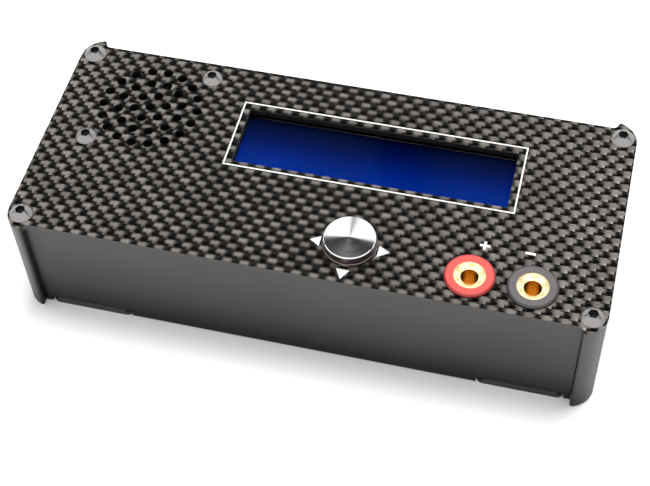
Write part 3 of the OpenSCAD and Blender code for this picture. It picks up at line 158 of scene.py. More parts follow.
def wovenCarbon():
    # plain weave carbon fibre pressed under satin resin: the weft crossings' sheen is painted into
    # the colour as pale grey with fine threads, the warp crossings and the gaps stay almost black
    material, tree = newMaterial("wovenCarbonSatinResin")
    place = addNode(tree, "TexCoord").outputs["Object"]
    axes = addNode(tree, "SeparateXYZ", place)
    # filaments: noise drawn out along X in the weft and along Y in the warp
    thin, drawn = 1 / (weave["strand"] * mm), 1 / (7 * weave["strand"] * mm)
    weftPlace = addNode(tree, "Mapping", place, Scale=(drawn, thin, 0))
    weftNoise = addNode(tree, "TexNoise", weftPlace, Scale=1.0, Detail=2.0).outputs[0]
    warpPlace = addNode(tree, "Mapping", place, Scale=(thin, drawn, 0))
    warpNoise = addNode(tree, "TexNoise", warpPlace, Scale=1.0, Detail=2.0).outputs[0]
    # rows of half a weft period; every second row is moved by half a warp period
    row = addNode(tree, "Math", axes.outputs["Y"], 2 / (weave["periodY"] * mm),
                  2 * weave["shiftY"] + 0.5, operation="MULTIPLY_ADD")
    rowNumber = addNode(tree, "Math", row, operation="FLOOR")
    rowOdd = addNode(tree, "Math", rowNumber, 2.0, operation="FLOORED_MODULO")
    v = addNode(tree, "Math", row, operation="FRACT")
    column = addNode(tree, "Math", axes.outputs["X"], 1 / (weave["periodX"] * mm),
                     weave["shiftX"] + 0.5, operation="MULTIPLY_ADD")
    column = addNode(tree, "Math", rowOdd, 0.5, column, operation="MULTIPLY_ADD")
    columnNumber = addNode(tree, "Math", column, operation="FLOOR")
    # u runs over a weft crossing, whose ends are a little longer or shorter than the next one's
    u = addNode(tree, "Math", weftNoise, 0.1, column, operation="MULTIPLY_ADD")
    u = addNode(tree, "Math", u, 0.05, operation="SUBTRACT")
    u = addNode(tree, "Math", u, operation="FRACT")
    rises = addNode(tree, "MapRange", u, 0.08, 0.32, interpolation_type="SMOOTHSTEP")
    falls = addNode(tree, "MapRange", u, 0.60, 0.85, 1.0, 0.0, interpolation_type="SMOOTHSTEP")
    lower = addNode(tree, "MapRange", v, 0.08, 0.58, interpolation_type="SMOOTHSTEP")
    upper = addNode(tree, "MapRange", v, 0.76, 1.12, 1.0, 0.0, interpolation_type="SMOOTHSTEP")
    weft = addNode(tree, "Math", rises, falls, operation="MULTIPLY")
    weft = addNode(tree, "Math", weft, lower, operation="MULTIPLY")
    weft = addNode(tree, "Math", weft, upper, operation="MULTIPLY")
    # w runs over a warp crossing, with 0 at its middle
    w = addNode(tree, "Math", u, 0.5, operation="ADD")
    w = addNode(tree, "Math", w, operation="FRACT")
    w = addNode(tree, "Math", w, 0.5, operation="SUBTRACT")
    # painted highlight: the flank that faces the near end of the case is drawn lighter than the
    # other
    side = addNode(tree, "Math", axes.outputs["X"], weave["flank"] / 0.06, operation="MULTIPLY")
    offset = addNode(tree, "Math", w, 0.08, operation="ADD")
    warp = addNode(tree, "Math", side, offset, weave["warp"], operation="MULTIPLY_ADD")
    warp = addNode(tree, "Math", warp, 0.09, operation="MAXIMUM")
    # an oval gap under the lower end of each warp crossing
    gapU = addNode(tree, "Math", w, 4.2, 0.29, operation="MULTIPLY_ADD")
    gapV = addNode(tree, "Math", v, 3.6, -1.19, operation="MULTIPLY_ADD")
    oval = addNode(tree, "CombineXYZ", gapU, gapV)
    oval = addNode(tree, "VectorMath", oval, operation="LENGTH").outputs["Value"]
    gap = addNode(tree, "MapRange", oval, 0.45, 1.15, 1.0, 0.0, interpolation_type="SMOOTHSTEP")
    warp = addNode(tree, "Mix", data_type="FLOAT", Factor=gap, A=warp, B=weave["gap"])
    tone = addNode(tree, "Mix", data_type="FLOAT", Factor=weft, A=warp, B=weave["weft"])
    # one crossing is lighter than the next and its threads differ; a painted sheen makes the cloth
    # pale to the left
    cell = addNode(tree, "CombineXYZ", columnNumber, rowNumber)
    uneven = addNode(tree, "TexWhiteNoise", cell, noise_dimensions="2D").outputs[0]
    uneven = addNode(tree, "MapRange", uneven, 0.0, 1.0, 1 - weave["uneven"], 1 + weave["uneven"])
    threads = addNode(tree, "Mix", data_type="FLOAT", Factor=weft, A=warpNoise, B=weftNoise)
    threads = addNode(tree, "MapRange", threads, 0.3, 0.7, 0.9, 1.1)
    # painted sheen: the cloth is a little lighter towards the left end
    slope = addNode(tree, "MapRange", axes.outputs["X"], -0.068, 0.0, 1.03, 1.0)
    for factor in (uneven, threads, slope):
        tone = addNode(tree, "Math", tone, factor, operation="MULTIPLY")
    # painted sheen: this tone turns the black cloth into the pale grey of the lit weft
    share = addNode(tree, "Math", tone, 2.2, operation="POWER")
    mixed = addNode(tree, "Mix", data_type="RGBA", Factor=share, A="#000000", B="#B8B1AA")
    height = addNode(tree, "Math", weft, 0.8, operation="MULTIPLY")
    height = addNode(tree, "Math", threads, 0.25, height, operation="MULTIPLY_ADD")
    relief = addNode(tree, "Bump", Strength=0.4, Distance=0.04 * mm, Height=height)
    endMaterial(tree, mixed, 0.5, Specular_IOR_Level=0.03, Normal=relief)
    return material


def anodisedSheet(name, colour, roughness, metallic):
    # bead blasted, black anodised aluminium: an even satin sheen, with painted shade that darkens it
    # low down, and black along the lower edge
    material, tree = newMaterial(name)
    place = addNode(tree, "TexCoord").outputs["Object"]
    axes = addNode(tree, "SeparateXYZ", place)
    # painted shade: the colour darkens with falling height, as the floor's contact shadow darkens
    # the satin
    height = addNode(tree, "MapRange", axes.outputs["Z"], 0.0, topZ, 0.0, 1.0)
    shadeShares = ((0.085, 0.12), (0.13, 0.28), (0.4, 0.66), (0.9, 0.96))
    depth = addNode(tree, "ValToRGB", height, stops=[(z, linear(colour, s)) for z, s in shadeShares])
    cloud = addNode(tree, "TexNoise", place, Scale=45.0, Detail=2.0)
    shade = addNode(tree, "MapRange", cloud, 0.3, 0.7, 0.94, 1.06)
    mottledShade = addNode(tree, "VectorMath", depth, shade, operation="MULTIPLY")
    # blasting leaves pits of about a tenth of a millimetre
    fine = addNode(tree, "Mapping", place, Scale=[1 / (0.12 * mm)] * 3)
    pits = addNode(tree, "TexNoise", fine, Scale=1.0, Detail=3.0).outputs[0]
    gloss = addNode(tree, "MapRange", pits, 0.3, 0.7, roughness - 0.05, roughness + 0.05)
    relief = addNode(tree, "Bump", Strength=0.6, Distance=0.006 * mm, Height=pits)
    endMaterial(tree, mottledShade, gloss, Metallic=metallic, Normal=relief)
    return material


def displayBlue():
    # blank blue display, lit from behind: painted shade from the window's far wall makes it near
    # black at the far edge, deep blue at the near edge, and the polariser on it gives nothing back
    # but its own light
    material, tree = newMaterial("blankBlueDisplay")
    place = addNode(tree, "TexCoord").outputs["Object"]
    axes = addNode(tree, "SeparateXYZ", place)
    # painted shade: the glow is darkened towards the far edge
    near = addNode(tree, "MapRange", axes.outputs["Y"], lcdHigh.y, lcdLow.y, 0.0, 1.0)
    glowAndShade = addNode(tree, "ValToRGB", near,
                   stops=[(0.12, "#000006"), (0.4, "#000D52"), (0.6, "#001F80"), (0.9, "#00309C")])
    cloud = addNode(tree, "TexNoise", place, Scale=60.0, Detail=1.0)
    cloudy = addNode(tree, "MapRange", cloud, 0.3, 0.7, 0.85, 1.1)
    endMaterial(tree, "#000104", 0.3, Specular_IOR_Level=0.0, Emission_Color=glowAndShade,
                Emission_Strength=cloudy)
    return material


def clearWindow():
    # clear polycarbonate with a non-glare coat: no colour and only a trace of reflection
    material, tree = newMaterial("clearWindowPolycarbonate")
    place = addNode(tree, "TexCoord").outputs["Object"]
    ripple = addNode(tree, "TexNoise", place, Scale=300.0, Detail=1.0)
    relief = addNode(tree, "Bump", Strength=0.2, Distance=0.002 * mm, Height=ripple)
    endMaterial(tree, "#FFFFFF", 0.04, IOR=1.06, Transmission_Weight=1.0, Normal=relief)
    return material


def spunAluminium(name, colour, roughness, anisotropy):
    # turned aluminium: fine rings round the axis draw each reflection into a ray to the middle
    material, tree = newMaterial(name)
    tangent = addNode(tree, "Tangent", direction_type="UV_MAP", uv_map="turned")
    spun = addNode(tree, "UVMap", uv_map="turned")
    ringPlace = addNode(tree, "Mapping", spun, Scale=(3.0, 1 / 0.09, 0))
    rings = addNode(tree, "TexNoise", ringPlace, Scale=1.0, Detail=2.0).outputs[0]
    gloss = addNode(tree, "MapRange", rings, 0.3, 0.7, roughness - 0.03, roughness + 0.05)
    relief = addNode(tree, "Bump", Strength=0.3, Distance=0.0015 * mm, Height=rings)
    endMaterial(tree, colour, gloss, Metallic=1.0, Anisotropic=anisotropy,
                Anisotropic_Rotation=0.25, Tangent=tangent, Normal=relief)
    return material


def collarNylon(name, colour, rimShadeColour, low, high):
    # moulded nylon collar: glossy, with painted shade as a darker line round its rim
    material, tree = newMaterial(name)
    place = addNode(tree, "TexCoord").outputs["Object"]
    x, y = middle(low, high)
    centred = addNode(tree, "Mapping", place, Location=(-x, -y, 0), Scale=(1, 1, 0))
    radius = addNode(tree, "VectorMath", centred, operation="LENGTH").outputs["Value"]
    reach = (high.x - low.x) / 2
    # painted shade: the colour darkens over the rim's outer part
    rim = addNode(tree, "MapRange", radius, reach - 0.62 * mm, reach - 0.3 * mm,
                  interpolation_type="SMOOTHSTEP")
    mixed = addNode(tree, "Mix", data_type="RGBA", Factor=rim, A=colour, B=rimShadeColour)
    fine = addNode(tree, "Mapping", place, Scale=[1 / (0.25 * mm)] * 3)
    grain = addNode(tree, "TexNoise", fine, Scale=1.0, Detail=3.0).outputs[0]
    gloss = addNode(tree, "MapRange", grain, 0.3, 0.7, 0.3, 0.4)
    relief = addNode(tree, "Bump", Strength=0.6, Distance=0.006 * mm, Height=grain)
    endMaterial(tree, mixed, gloss, Normal=relief)
    return material


# record slot: material name, two colours, roughness, grain mm, bump mm, metallic
finishes = {
    "rubber": ("mouldedRubber", "#141414", "#1B1B1B", 0.75, 0.4, 0.03),             # dull black
    "black_metal": ("blackenedSteelSheet", "#0E0E10", "#151517", 0.5, 0.2, 0.006),  # thin dull oxide
    "backlight_white": ("milkyAcrylic", "#E8E8E4", "#DEDEDA", 0.4, 0.5, 0.004),     # pale, even
    "board_green": ("solderResistGreen", "#0F3D22", "#14502C", 0.35, 0.9, 0.01),    # glossy green
    "brass": ("turnedBrass", "#B99045", "#C9A055", 0.3, 0.2, 0.004, 1.0),           # warm yellow
    "zinc_steel": ("zincPlatedSteel", "#8F9194", "#808285", 0.32, 0.25, 0.006, 1.0),  # blue-grey
    "black_plastic": ("mouldedBlackPlastic", "#131314", "#19191A", 0.5, 0.25, 0.008),  # satin black
    "gold_plate": ("goldPlatedBrass", "#FCE2AE", "#F9DAA2", 0.34, 0.3, 0.001, 1.0),  # light, soft
    "tin_plate": ("tinPlatedPins", "#A4A5A7", "#949698", 0.3, 0.3, 0.004, 1.0),     # soft silver
    "fan_plastic": ("mouldedFanPlastic", "#101112", "#151718", 0.42, 0.3, 0.008),   # dark satin
    "magnet": ("bondedFerrite", "#3A3A3C", "#2E2E30", 0.6, 0.2, 0.01),              # matt charcoal
    "bright_steel": ("groundSteel", "#9A9B9E", "#8C8D90", 0.22, 0.15, 0.003, 1.0),  # near mirror
    "bronze": ("sinteredBronze", "#8E6A38", "#7A5A2E", 0.5, 0.15, 0.02, 1.0),       # porous brown
    "copper": ("enamelledCopperWire", "#B5592B", "#A24E26", 0.28, 0.6, 0.01, 1.0),  # wet red
    "zinc_casting": ("dieCastZinc", "#7B7C7E", "#6E6F71", 0.42, 0.3, 0.012, 1.0),   # dull casting
    "white_plastic": ("mouldedAcetalWhite", "#EDEDE9", "#E3E3DE", 0.4, 0.3, 0.006),  # milky white
    "ivory_plastic": ("mouldedIvoryNylon", "#E5DEC8", "#DBD3BA", 0.38, 0.3, 0.008),  # warm ivory
    "ferrite": ("coatedFerriteYellow", "#C7B22E", "#B5A026", 0.45, 0.3, 0.01),      # painted ring
    "capacitor_sleeve": ("shrunkSleeveNavy", "#0B0F24", "#10152E", 0.3, 0.5, 0.008),  # tight, glossy
    "chip_epoxy": ("mouldedEpoxy", "#1A1A1B", "#222223", 0.55, 0.15, 0.008),        # matt black
    "amber_plastic": ("mouldedAmberPlastic", "#C9781A", "#BB6A12", 0.3, 0.3, 0.005),  # glossy amber
    "red_wire": ("siliconeSleeveRed", "#A8141A", "#971015", 0.45, 0.3, 0.008),      # soft red
    "black_wire": ("siliconeSleeveBlack", "#141414", "#1C1C1C", 0.45, 0.3, 0.008),  # soft black
    "black_screw": ("blackenedScrewSteel", "#7D7B7A", "#6B6968", 0.3, 0.2, 0.006, 0.9),  # worn oxide
    "spun_aluminium": ("turnedAluminium", "#9C9DA0", "#909194", 0.25, 0.2, 0.003, 1.0),  # bright
}
plainFinishes = {slot: grained(*row) for slot, row in finishes.items()}
# each collar's second colour is the painted shade on its rim
plainFinishes["red_plastic"] = collarNylon("mouldedRedNylon", "#DE4A44", "#7A1210", redLow, redHigh)
plainFinishes["socket_black"] = collarNylon("mouldedBlackNylon", "#534F50", "#1A1818",
                                            blackLow, blackHigh)
# walls and cheeks both carry the painted shade low down
plainFinishes["anodised_sheet"] = anodisedSheet("anodisedSheetBlack", "#484848", 0.42, 0.85)
plainFinishes["anodised_cheek"] = anodisedSheet("anodisedCheekBlack", "#4A4A4A", 0.4, 0.85)
plainFinishes["carbon_weave"] = wovenCarbon()
plainFinishes["lcd_blue"] = displayBlue()
plainFinishes["clear_window"] = clearWindow()
# extruded aluminium: bright, with faint lines along the die
plainFinishes["bare_aluminium"] = grained("extrudedAluminium", "#8F9194", "#808285", 0.38, 0.2, 0.01,
                                          1.0, stretch=(0.1, 1, 1))
# painted light: where the cloth's cut edge faces out, it is drawn as a grey satin, lit like the
# sheet below it
greyEdgePaintedLight = grained("carbonEdgePaintedLight", "#4C4B4A", "#434241", 0.42, 0.2, 0.006, 0.8)
# painted shade: inside its holes the same cut is drawn black
blackCutPaintedShade = grained("carbonHolePaintedShade", "#0B0A0A", "#080808", 0.6, 0.2, 0.006,
                  Specular_IOR_Level=0.2)
# screen printed ink: flat, opaque and faintly warm
whiteInk = grained("screenPrintedWhite", "#D6D6D4", "#CDCDCA", 0.5, 0.3, 0.004)
slotOf = {row["node"]: row["material_slot"] for row in frame["record"]["subparts"]}
for nodeName, node in nodes.items():
    node.data.materials.clear()
    node.data.materials.append(plainFinishes[slotOf[nodeName]])
print("materials made:", len(plainFinishes))


def bodyOf(nodeName):
    return nodes[nodeName]["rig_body"]


def smoothByAngle(mesh, degrees):
    # smooth shading with creases where two faces meet at more than the angle
    work = bmesh.new()
    work.from_mesh(mesh)
    limit = math.radians(degrees)
    for face in work.faces:
        face.smooth = True
    for edge in work.edges:
        edge.smooth = len(edge.link_faces) == 2 and edge.calc_face_angle(0) < limit
    work.to_mesh(mesh)
    work.free()


def finished(nodeName, bevel=0.0, steps=2, crease=32):
    # a copy of a CAD node with its triangles merged, smooth round faces and softened edges
    source = nodes[nodeName]
    mesh = source.data.copy()
    work = bmesh.new()
    work.from_mesh(mesh)
    bmesh.ops.remove_doubles(work, verts=work.verts, dist=2e-6)
    bmesh.ops.dissolve_limit(work, angle_limit=math.radians(0.5), verts=work.verts,
                             edges=work.edges)
    work.to_mesh(mesh)
    work.free()
    smoothByAngle(mesh, crease)
    piece = bpy.data.objects.new(nodeName + "Finished", mesh)
    scene.collection.objects.link(piece)
    if bevel:
        edges = piece.modifiers.new("softEdges", "BEVEL")
        edges.width = bevel * mm
        edges.segments = steps
        edges.limit_method = "ANGLE"
        edges.angle_limit = math.radians(crease)
        edges.harden_normals = False
        edges.use_clamp_overlap = True
        edges.miter_outer = "MITER_ARC"
    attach(piece, bodyOf(nodeName))
    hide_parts(nodeName)
    return piece


def ringSurface(name, rings, material, body, crease=32):
    # rings[i, j] is the point of ring i at step j round the axis; the first and last rings
    # each close to one point, so the skin has two parameters and no open edge
    count, steps = rings.shape[:2]
    vertices = rings.reshape(-1, 3)
    i, j = np.meshgrid(np.arange(count - 1), np.arange(steps), indexing="ij")
    nextJ = (j + 1) % steps
    faces = np.stack([i * steps + j, i * steps + nextJ, (i + 1) * steps + nextJ,
                      (i + 1) * steps + j], axis=-1).reshape(-1, 4)
    mesh = bpy.data.meshes.new(name)
    mesh.from_pydata(vertices.tolist(), [], faces.tolist())
    # turned map: U goes round the axis, V along the profile in mm
    steplengths = np.linalg.norm(np.diff(rings[:, 0], axis=0), axis=1) / mm
    along = np.concatenate([[0], np.cumsum(steplengths)])
    u = np.stack([j, j + 1, j + 1, j], axis=-1).reshape(-1) / steps
    v = along[np.stack([i, i, i + 1, i + 1], axis=-1).reshape(-1)]
    layer = mesh.uv_layers.new(name="turned")
    layer.data.foreach_set("uv", np.stack([u, v], axis=-1).reshape(-1))
    work = bmesh.new()
    work.from_mesh(mesh)
    bmesh.ops.remove_doubles(work, verts=work.verts, dist=1e-7)
    bmesh.ops.recalc_face_normals(work, faces=work.faces)
    work.to_mesh(mesh)
    work.free()
    smoothByAngle(mesh, crease)
    mesh.materials.append(material)
    piece = bpy.data.objects.new(name, mesh)
    scene.collection.objects.link(piece)
    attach(piece, body)
    return piece


def facePlaces(piece):
    # the normals and the centres of a piece's faces, one row each
    faces = piece.data.polygons
    normals, centres = np.zeros(len(faces) * 3), np.zeros(len(faces) * 3)
    faces.foreach_get("normal", normals)
    faces.foreach_get("center", centres)
    return normals.reshape(-1, 3), centres.reshape(-1, 3)


def paintFaces(piece, chosen, *materials):
    # adds materials to a piece; chosen holds each face's material number, 0 for the piece's own
    for material in materials:
        piece.data.materials.append(material)
    piece.data.polygons.foreach_set("material_index", chosen.astype(np.int32))


def turnedRings(centre, profile, steps=128):
    # each profile point (radius, height) goes once round the vertical axis at centre
    angle = np.arange(steps) * 2 * math.pi / steps
    radius, height = np.array(profile).T[:, :, None] * mm
    x = centre[0] + radius * np.cos(angle)
    y = centre[1] + radius * np.sin(angle)
    return np.stack([x, y, np.broadcast_to(height, x.shape)], axis=-1)


def roundedPath(points, radius, steps):
    # (r, z) points joined by straight lines, with each inner corner drawn as a small arc
    points = [np.array(p, float) for p in points]
    path = [points[0]]
    for before, corner, after in zip(points, points[1:], points[2:]):
        toBefore, toAfter = before - corner, after - corner
        reach = min(radius, 0.45 * np.linalg.norm(toBefore), 0.45 * np.linalg.norm(toAfter))
        start = corner + toBefore / np.linalg.norm(toBefore) * reach
        end = corner + toAfter / np.linalg.norm(toAfter) * reach
        for t in np.linspace(0, 1, steps):
            path.append((1 - t) ** 2 * start + 2 * t * (1 - t) * corner + t ** 2 * end)
    path.append(points[-1])
    return path


# edges that catch the light: node, bevel in mm
softEdges = {
    "top_plate": 0.08, "channel": 0.12, "left_cheek": 0.3, "right_cheek": 0.3,
    "rubber_feet": 0.3, "plate_screws": 0.12, "fan_screws": 0.1, "base_screws": 0.06,
    "red_socket": 0.1, "black_socket": 0.1, "socket_contacts": 0.04,
    "port_two": 0.12, "port_three": 0.12, "port_four": 0.12, "port_five": 0.12,
    "port_six": 0.12, "port_pins": 0.08, "inlet_housing": 0.12, "inlet_pin": 0.0,
    "fan_impeller": 0.0, "fan_frame": 0.1, "encoder_housing": 0.08, "encoder_shaft": 0.0,
    "capacitors": 0.1, "buzzer": 0.1, "heat_sink": 0.08, "lcd_bezel": 0.05,
}
for nodeName, width in softEdges.items():
    piece = finished(nodeName, width)
    piece.data.materials.clear()
    piece.data.materials.append(plainFinishes[slotOf[nodeName]])
print("edges softened:", len(softEdges))

# where the plate's upright faces take the grey painted-light edge and not the black painted-shade
# one, mm
greyEdgeReach = {
    "ends": 9.0,          # in from the ends
    "sides": 2.6,         # in from the long sides
    "window": 28.0,       # out from the window's middle, which its short sides lie beyond
    "windowEnd": 4.0,     # past the display glass, on its left
}
# only the plate's faces show the weave: upright ones take the grey painted-light edge where they
# face out and the black painted-shade cut elsewhere, and the bevel keeps the material of the face
# that it rounds
platePiece = bpy.data.objects["top_plateFinished"]
normals, centres = facePlaces(platePiece)
upright = np.abs(normals[:, 2]) < 0.7
ends = np.abs(centres[:, 0]) > plateHigh.x - greyEdgeReach["ends"] * mm
sides = np.abs(centres[:, 1]) > plateHigh.y - greyEdgeReach["sides"] * mm
windowX = middle(lcdLow, lcdHigh)[0]
short = (np.abs(centres[:, 0] - windowX) > greyEdgeReach["window"] * mm) \
    & (np.abs(normals[:, 0]) > 0.9) & (centres[:, 0] > lcdLow.x - greyEdgeReach["windowEnd"] * mm)
paintFaces(platePiece, upright * (2 - (ends | sides | short)), greyEdgePaintedLight, blackCutPaintedShade)

# painted shade: the hexagon sockets of the plate's screws are drawn black inside
hexagon = {"floor": 0.2, "top": 0.9}    # mm above the plate
for nodeName in ("plate_screws", "fan_screws"):
    piece = bpy.data.objects[nodeName + "Finished"]
    normals, centres = facePlaces(piece)
    upward, height = normals[:, 2], (centres[:, 2] - topZ) / mm
    inside = (np.abs(upward) < 0.2) | ((upward > 0.99) & (height < hexagon["top"]))
    paintFaces(piece, inside & (height > hexagon["floor"]), blackCutPaintedShade)

# inside the bores the plating is burnished by plugs: it mirrors more sharply and looks deeper
boreGold = grained("goldPlatedBore", "#FADCA2", "#F7D496", 0.2, 0.3, 0.001, 1.0)
boreReach = 2.15    # mm, just past the radius of a bore
contacts = bpy.data.objects["socket_contactsFinished"]
normals, centres = facePlaces(contacts)
inBore = np.zeros(len(centres), dtype=bool)
for low, high in ((redLow, redHigh), (blackLow, blackHigh)):
    away = centres[:, :2] - middle(low, high)
    inBore |= np.hypot(away[:, 0], away[:, 1]) < boreReach * mm
paintFaces(contacts, inBore & (np.abs(normals[:, 2]) < 0.3), boreGold)

knob = {
    "flange": 0.8,        # height of the flange, mm
    "gap": 0.7,           # knob above the plate
    "cap": 5.85,          # radius of the cap
    "crown": 0.1,         # rise of the spun face
    "chamfer": 0.17,
    "ring": 0.12,         # width of one turning groove
    "flank": 8.0,         # slope of a groove's outer flank, degrees
    "hub": 4.2,           # radius of the hub
    "drop": 2.5,          # how far the hub reaches below the plate's face
    "polished": 1.4,      # depth of the finely turned edge, in chamfers
}


def makeKnob():
    # profile from the hub's underside, out over the flange and the cap, to the face's middle
    z = topZ / mm
    radius = (dialHigh.x - dialLow.x) / 2 / mm
    top = dialHigh.z / mm
    rim = top - knob["crown"]
    base = z + knob["gap"]
    outline = [
        (0, z - knob["drop"]), (knob["hub"], z - knob["drop"]), (knob["hub"], base),
        (radius - 0.1, base), (radius, base + 0.1), (radius, base + knob["flange"] - 0.12),
        (radius - 0.12, base + knob["flange"]), (knob["cap"] - 0.25, base + knob["flange"]),
        (knob["cap"] - 0.25, base + knob["flange"] + 0.3),
        (knob["cap"], base + knob["flange"] + 0.3),
        (knob["cap"], rim - knob["chamfer"]), (knob["cap"] - knob["chamfer"], rim),
        (0.12, top),
    ]
    path = roundedPath(outline, 0.06, 3)
    # the face is faced off in shallow saw-tooth grooves, so each half of it mirrors one way
    reach = knob["cap"] - knob["chamfer"]
    edges = np.linspace(reach, 0.0, round(reach / knob["ring"]) + 1)
    face = []
    for outer, inner in zip(edges, edges[1:]):
        level = top - knob["crown"] * outer / reach
        rise = (outer - inner) * math.tan(math.radians(knob["flank"]))
        face += [(outer, level - rise), (inner, level)]
    face[-1] = (0.0, top)
    path = path[:-1] + face
    return turnedRings(middle(dialLow, dialHigh), path)


spunFace = spunAluminium("spunAluminiumKnob", "#BDBDBF", 0.14, 0.75)
# below the cap's rim the knob is turned more coarsely and duller; its dark brownish colour is a
# painted reflection of the dark plate
sidePaintedReflection = spunAluminium("turnedAluminiumFlank", "#5E5654", 0.34, 0.4)
dialPiece = ringSurface("turnedDialKnob", makeKnob(), spunFace, "dial", 20)
capEdge = dialHigh.z - (knob["crown"] + knob["polished"] * knob["chamfer"]) * mm
paintFaces(dialPiece, facePlaces(dialPiece)[1][:, 2] < capEdge, sidePaintedReflection)
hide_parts("dial_knob")
print("knob turned")

printed = {
    "lift": 0.015,        # mm of ink over the plate
    "line": 0.36,         # width of the frame's line, mm
    "frame": (-24.0, 43.9, -1.5, 17.9),   # left, right, front and rear of the frame's line, mm
    "signY": -11.8,       # where the two signs stand
    "plusTurn": 1.8,      # the signs' places beside their sockets
    "minusTurn": -1.9,
    "arm": 1.15,          # half a sign's length
    "bar": 0.62,          # a sign's stroke
}
# the corners of the three arrows, mm from the dial's middle
arrows = {
    "arrowLeft": ((-9.1, 0.0), (-6.8, -1.4), (-6.8, 1.4)),
    "arrowRight": ((8.9, 0.1), (6.35, 1.6), (6.35, -1.6)),
    "arrowFront": ((-0.1, -9.1), (1.45, -6.4), (-1.65, -6.4)),
}


def inkRings(outline):
    # a flat print: the outline drawn under the plate's face, on it, and closed to its middle
    outline = np.array(outline, float)
    centre = outline.mean(axis=0)
    top = topZ + printed["lift"] * mm
    low = topZ - 0.05 * mm
    rings = []
    for scale, z in ((0, low), (1, low), (1, top), (0, top)):
        flat = (centre + (outline - centre) * scale) * mm
        rings.append(np.column_stack([flat, np.full(len(flat), z)]))
    return np.array(rings)


def frameLine(x0, x1, y0, y1, width):
    # four bars mitred at the corners, so that none lies over another
    half = width / 2
    outer = [(x0 - half, y0 - half), (x1 + half, y0 - half), (x1 + half, y1 + half),
             (x0 - half, y1 + half)]
    inner = [(x0 + half, y0 + half), (x1 - half, y0 + half), (x1 - half, y1 - half),
             (x0 + half, y1 - half)]
    return [[outer[i], outer[(i + 1) % 4], inner[(i + 1) % 4], inner[i]] for i in range(4)]


def crossOutline(arm, half):
    # the twelve corners of a plus sign, anticlockwise
    quarter = [(arm, -half), (arm, half), (half, half)]
    turns = [(1, 0), (0, 1), (-1, 0), (0, -1)]
    return [(x * c - y * s, x * s + y * c) for c, s in turns for x, y in quarter]


def printMarks():
    knobX, knobY = [v / mm for v in middle(dialLow, dialHigh)]
    redX = middle(redLow, redHigh)[0] / mm
    blackX = middle(blackLow, blackHigh)[0] / mm
    bar, arm, signY = printed["bar"], printed["arm"], printed["signY"]
    plusX, minusX = redX + printed["plusTurn"], blackX + printed["minusTurn"]
    marks = {"frame": frameLine(*printed["frame"], printed["line"])}
    for name, corners in arrows.items():
        marks[name] = [[(knobX + x, knobY + y) for x, y in corners]]
    marks["plus"] = [[(plusX + x, signY + y) for x, y in crossOutline(arm, bar / 2)]]
    marks["minus"] = [[(minusX - arm, signY - bar / 2), (minusX + arm, signY - bar / 2),
                       (minusX + arm, signY + bar / 2), (minusX - arm, signY + bar / 2)]]
    for mark, outlines in marks.items():
        for number, outline in enumerate(outlines):
            ringSurface(f"print{mark.capitalize()}{number}", inkRings(outline), whiteInk,
                        "case")
    return marks


print("marks printed:", len(printMarks()))


def makeFloor():
    # pale board, well past the view on every side
    mesh = bpy.data.meshes.new("floor")
    size = 3.0
    mesh.from_pydata([(-size, -size, 0), (size, -size, 0), (size, size, 0), (-size, size, 0)],
                     [], [(0, 1, 2, 3)])
    floor = bpy.data.objects.new("floor", mesh)
    scene.collection.objects.link(floor)
    # painted board: pale and dull
    mesh.materials.append(grained("paintedBoard", "#E6E6E6", "#E9E9E9", 0.8, 3.0, 0.01))


studio = {
    "fill": 1.15,         # the white room's brightness
    "screens": 2.3,       # how bright polished metal sees the room
    "screenTop": 54.0,    # degrees above the far floor line where the pale screens end
    "boxStart": 77.0,     # degrees where the overhead softbox starts
    "dark": 0.05,         # what polished metal sees between them
    "gapTurn": -11.5,     # degrees from +Y to the gap between the two far screens
    "gapWidth": 1.6,
    "keyFrom": (0.10, 0.27, 1.0),
    "keyPower": 3.0,
    "keyAngle": 26.0,     # degrees across, as soft as the softbox is wide
}


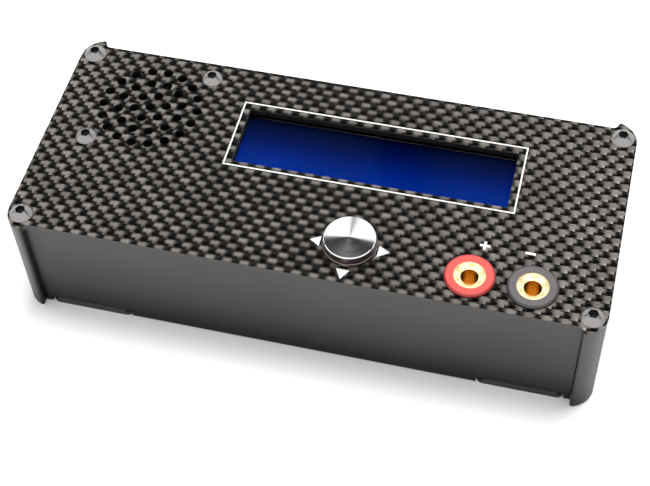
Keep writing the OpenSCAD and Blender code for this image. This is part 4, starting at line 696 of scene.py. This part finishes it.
def makeLight():
    # even white light on dull surfaces; polished ones see wide pale screens low down, dark above
    # them and the softbox overhead
    world = bpy.data.worlds.new("studio")
    scene.world = world
    world.use_nodes = True
    tree = world.node_tree
    tree.nodes.clear()
    direction = addNode(tree, "TexCoord").outputs["Generated"]
    axes = addNode(tree, "SeparateXYZ", direction)
    # height angle measured over the back: 0 at the far floor line, 90 straight up
    height = addNode(tree, "Math", axes.outputs["Z"], axes.outputs["Y"], operation="ARCTAN2")
    edge = math.radians(0.7)
    top, box = math.radians(studio["screenTop"]), math.radians(studio["boxStart"])
    screen = addNode(tree, "MapRange", height, top - edge, top + edge, studio["screens"],
                     studio["dark"], interpolation_type="SMOOTHSTEP")
    softbox = addNode(tree, "MapRange", height, box - 3 * edge, box + 3 * edge, 0.0,
                      studio["screens"], interpolation_type="SMOOTHSTEP")
    turn = addNode(tree, "Math", axes.outputs["X"], axes.outputs["Y"], operation="ARCTAN2")
    off = addNode(tree, "Math", turn, math.radians(studio["gapTurn"]), operation="SUBTRACT")
    off = addNode(tree, "Math", off, operation="ABSOLUTE")
    width = math.radians(studio["gapWidth"])
    gap = addNode(tree, "MapRange", off, 0.4 * width, 1.6 * width, 0.12, 1.0,
                  interpolation_type="SMOOTHSTEP")
    low = addNode(tree, "Math", screen, gap, softbox, operation="MULTIPLY_ADD")
    glossy = addNode(tree, "LightPath").outputs["Is Glossy Ray"]
    level = addNode(tree, "Mix", data_type="FLOAT", Factor=glossy, A=studio["fill"], B=low)
    shone = addNode(tree, "Background", Color=(1, 1, 1, 1), Strength=level)
    addNode(tree, "OutputWorld", Surface=shone)
    # overhead softbox, a little behind the case: its shadow falls short and soft to the front
    light = bpy.data.lights.new("softbox", "SUN")
    light.energy = studio["keyPower"]
    light.angle = math.radians(studio["keyAngle"])
    lamp = bpy.data.objects.new("softbox", light)
    lamp.rotation_euler = Vector(studio["keyFrom"]).to_track_quat("Z", "Y").to_euler()
    lamp.visible_glossy = False
    scene.collection.objects.link(lamp)


def makeCamera():
    camera = bpy.data.cameras.new("camera")
    camera.lens = 80.72
    camera.sensor_width = 36.0
    camera.clip_start = 0.01
    holder = bpy.data.objects.new("camera", camera)
    holder.location = (0.0594995, -0.2036635, 0.2887256)
    holder.rotation_euler = [math.radians(a) for a in (36.67625, 1.92258, 13.9532)]
    scene.collection.objects.link(holder)
    scene.camera = holder


makeFloor()
makeLight()
makeCamera()
scene.view_settings.view_transform = "Standard"
print("floor, light and camera set")
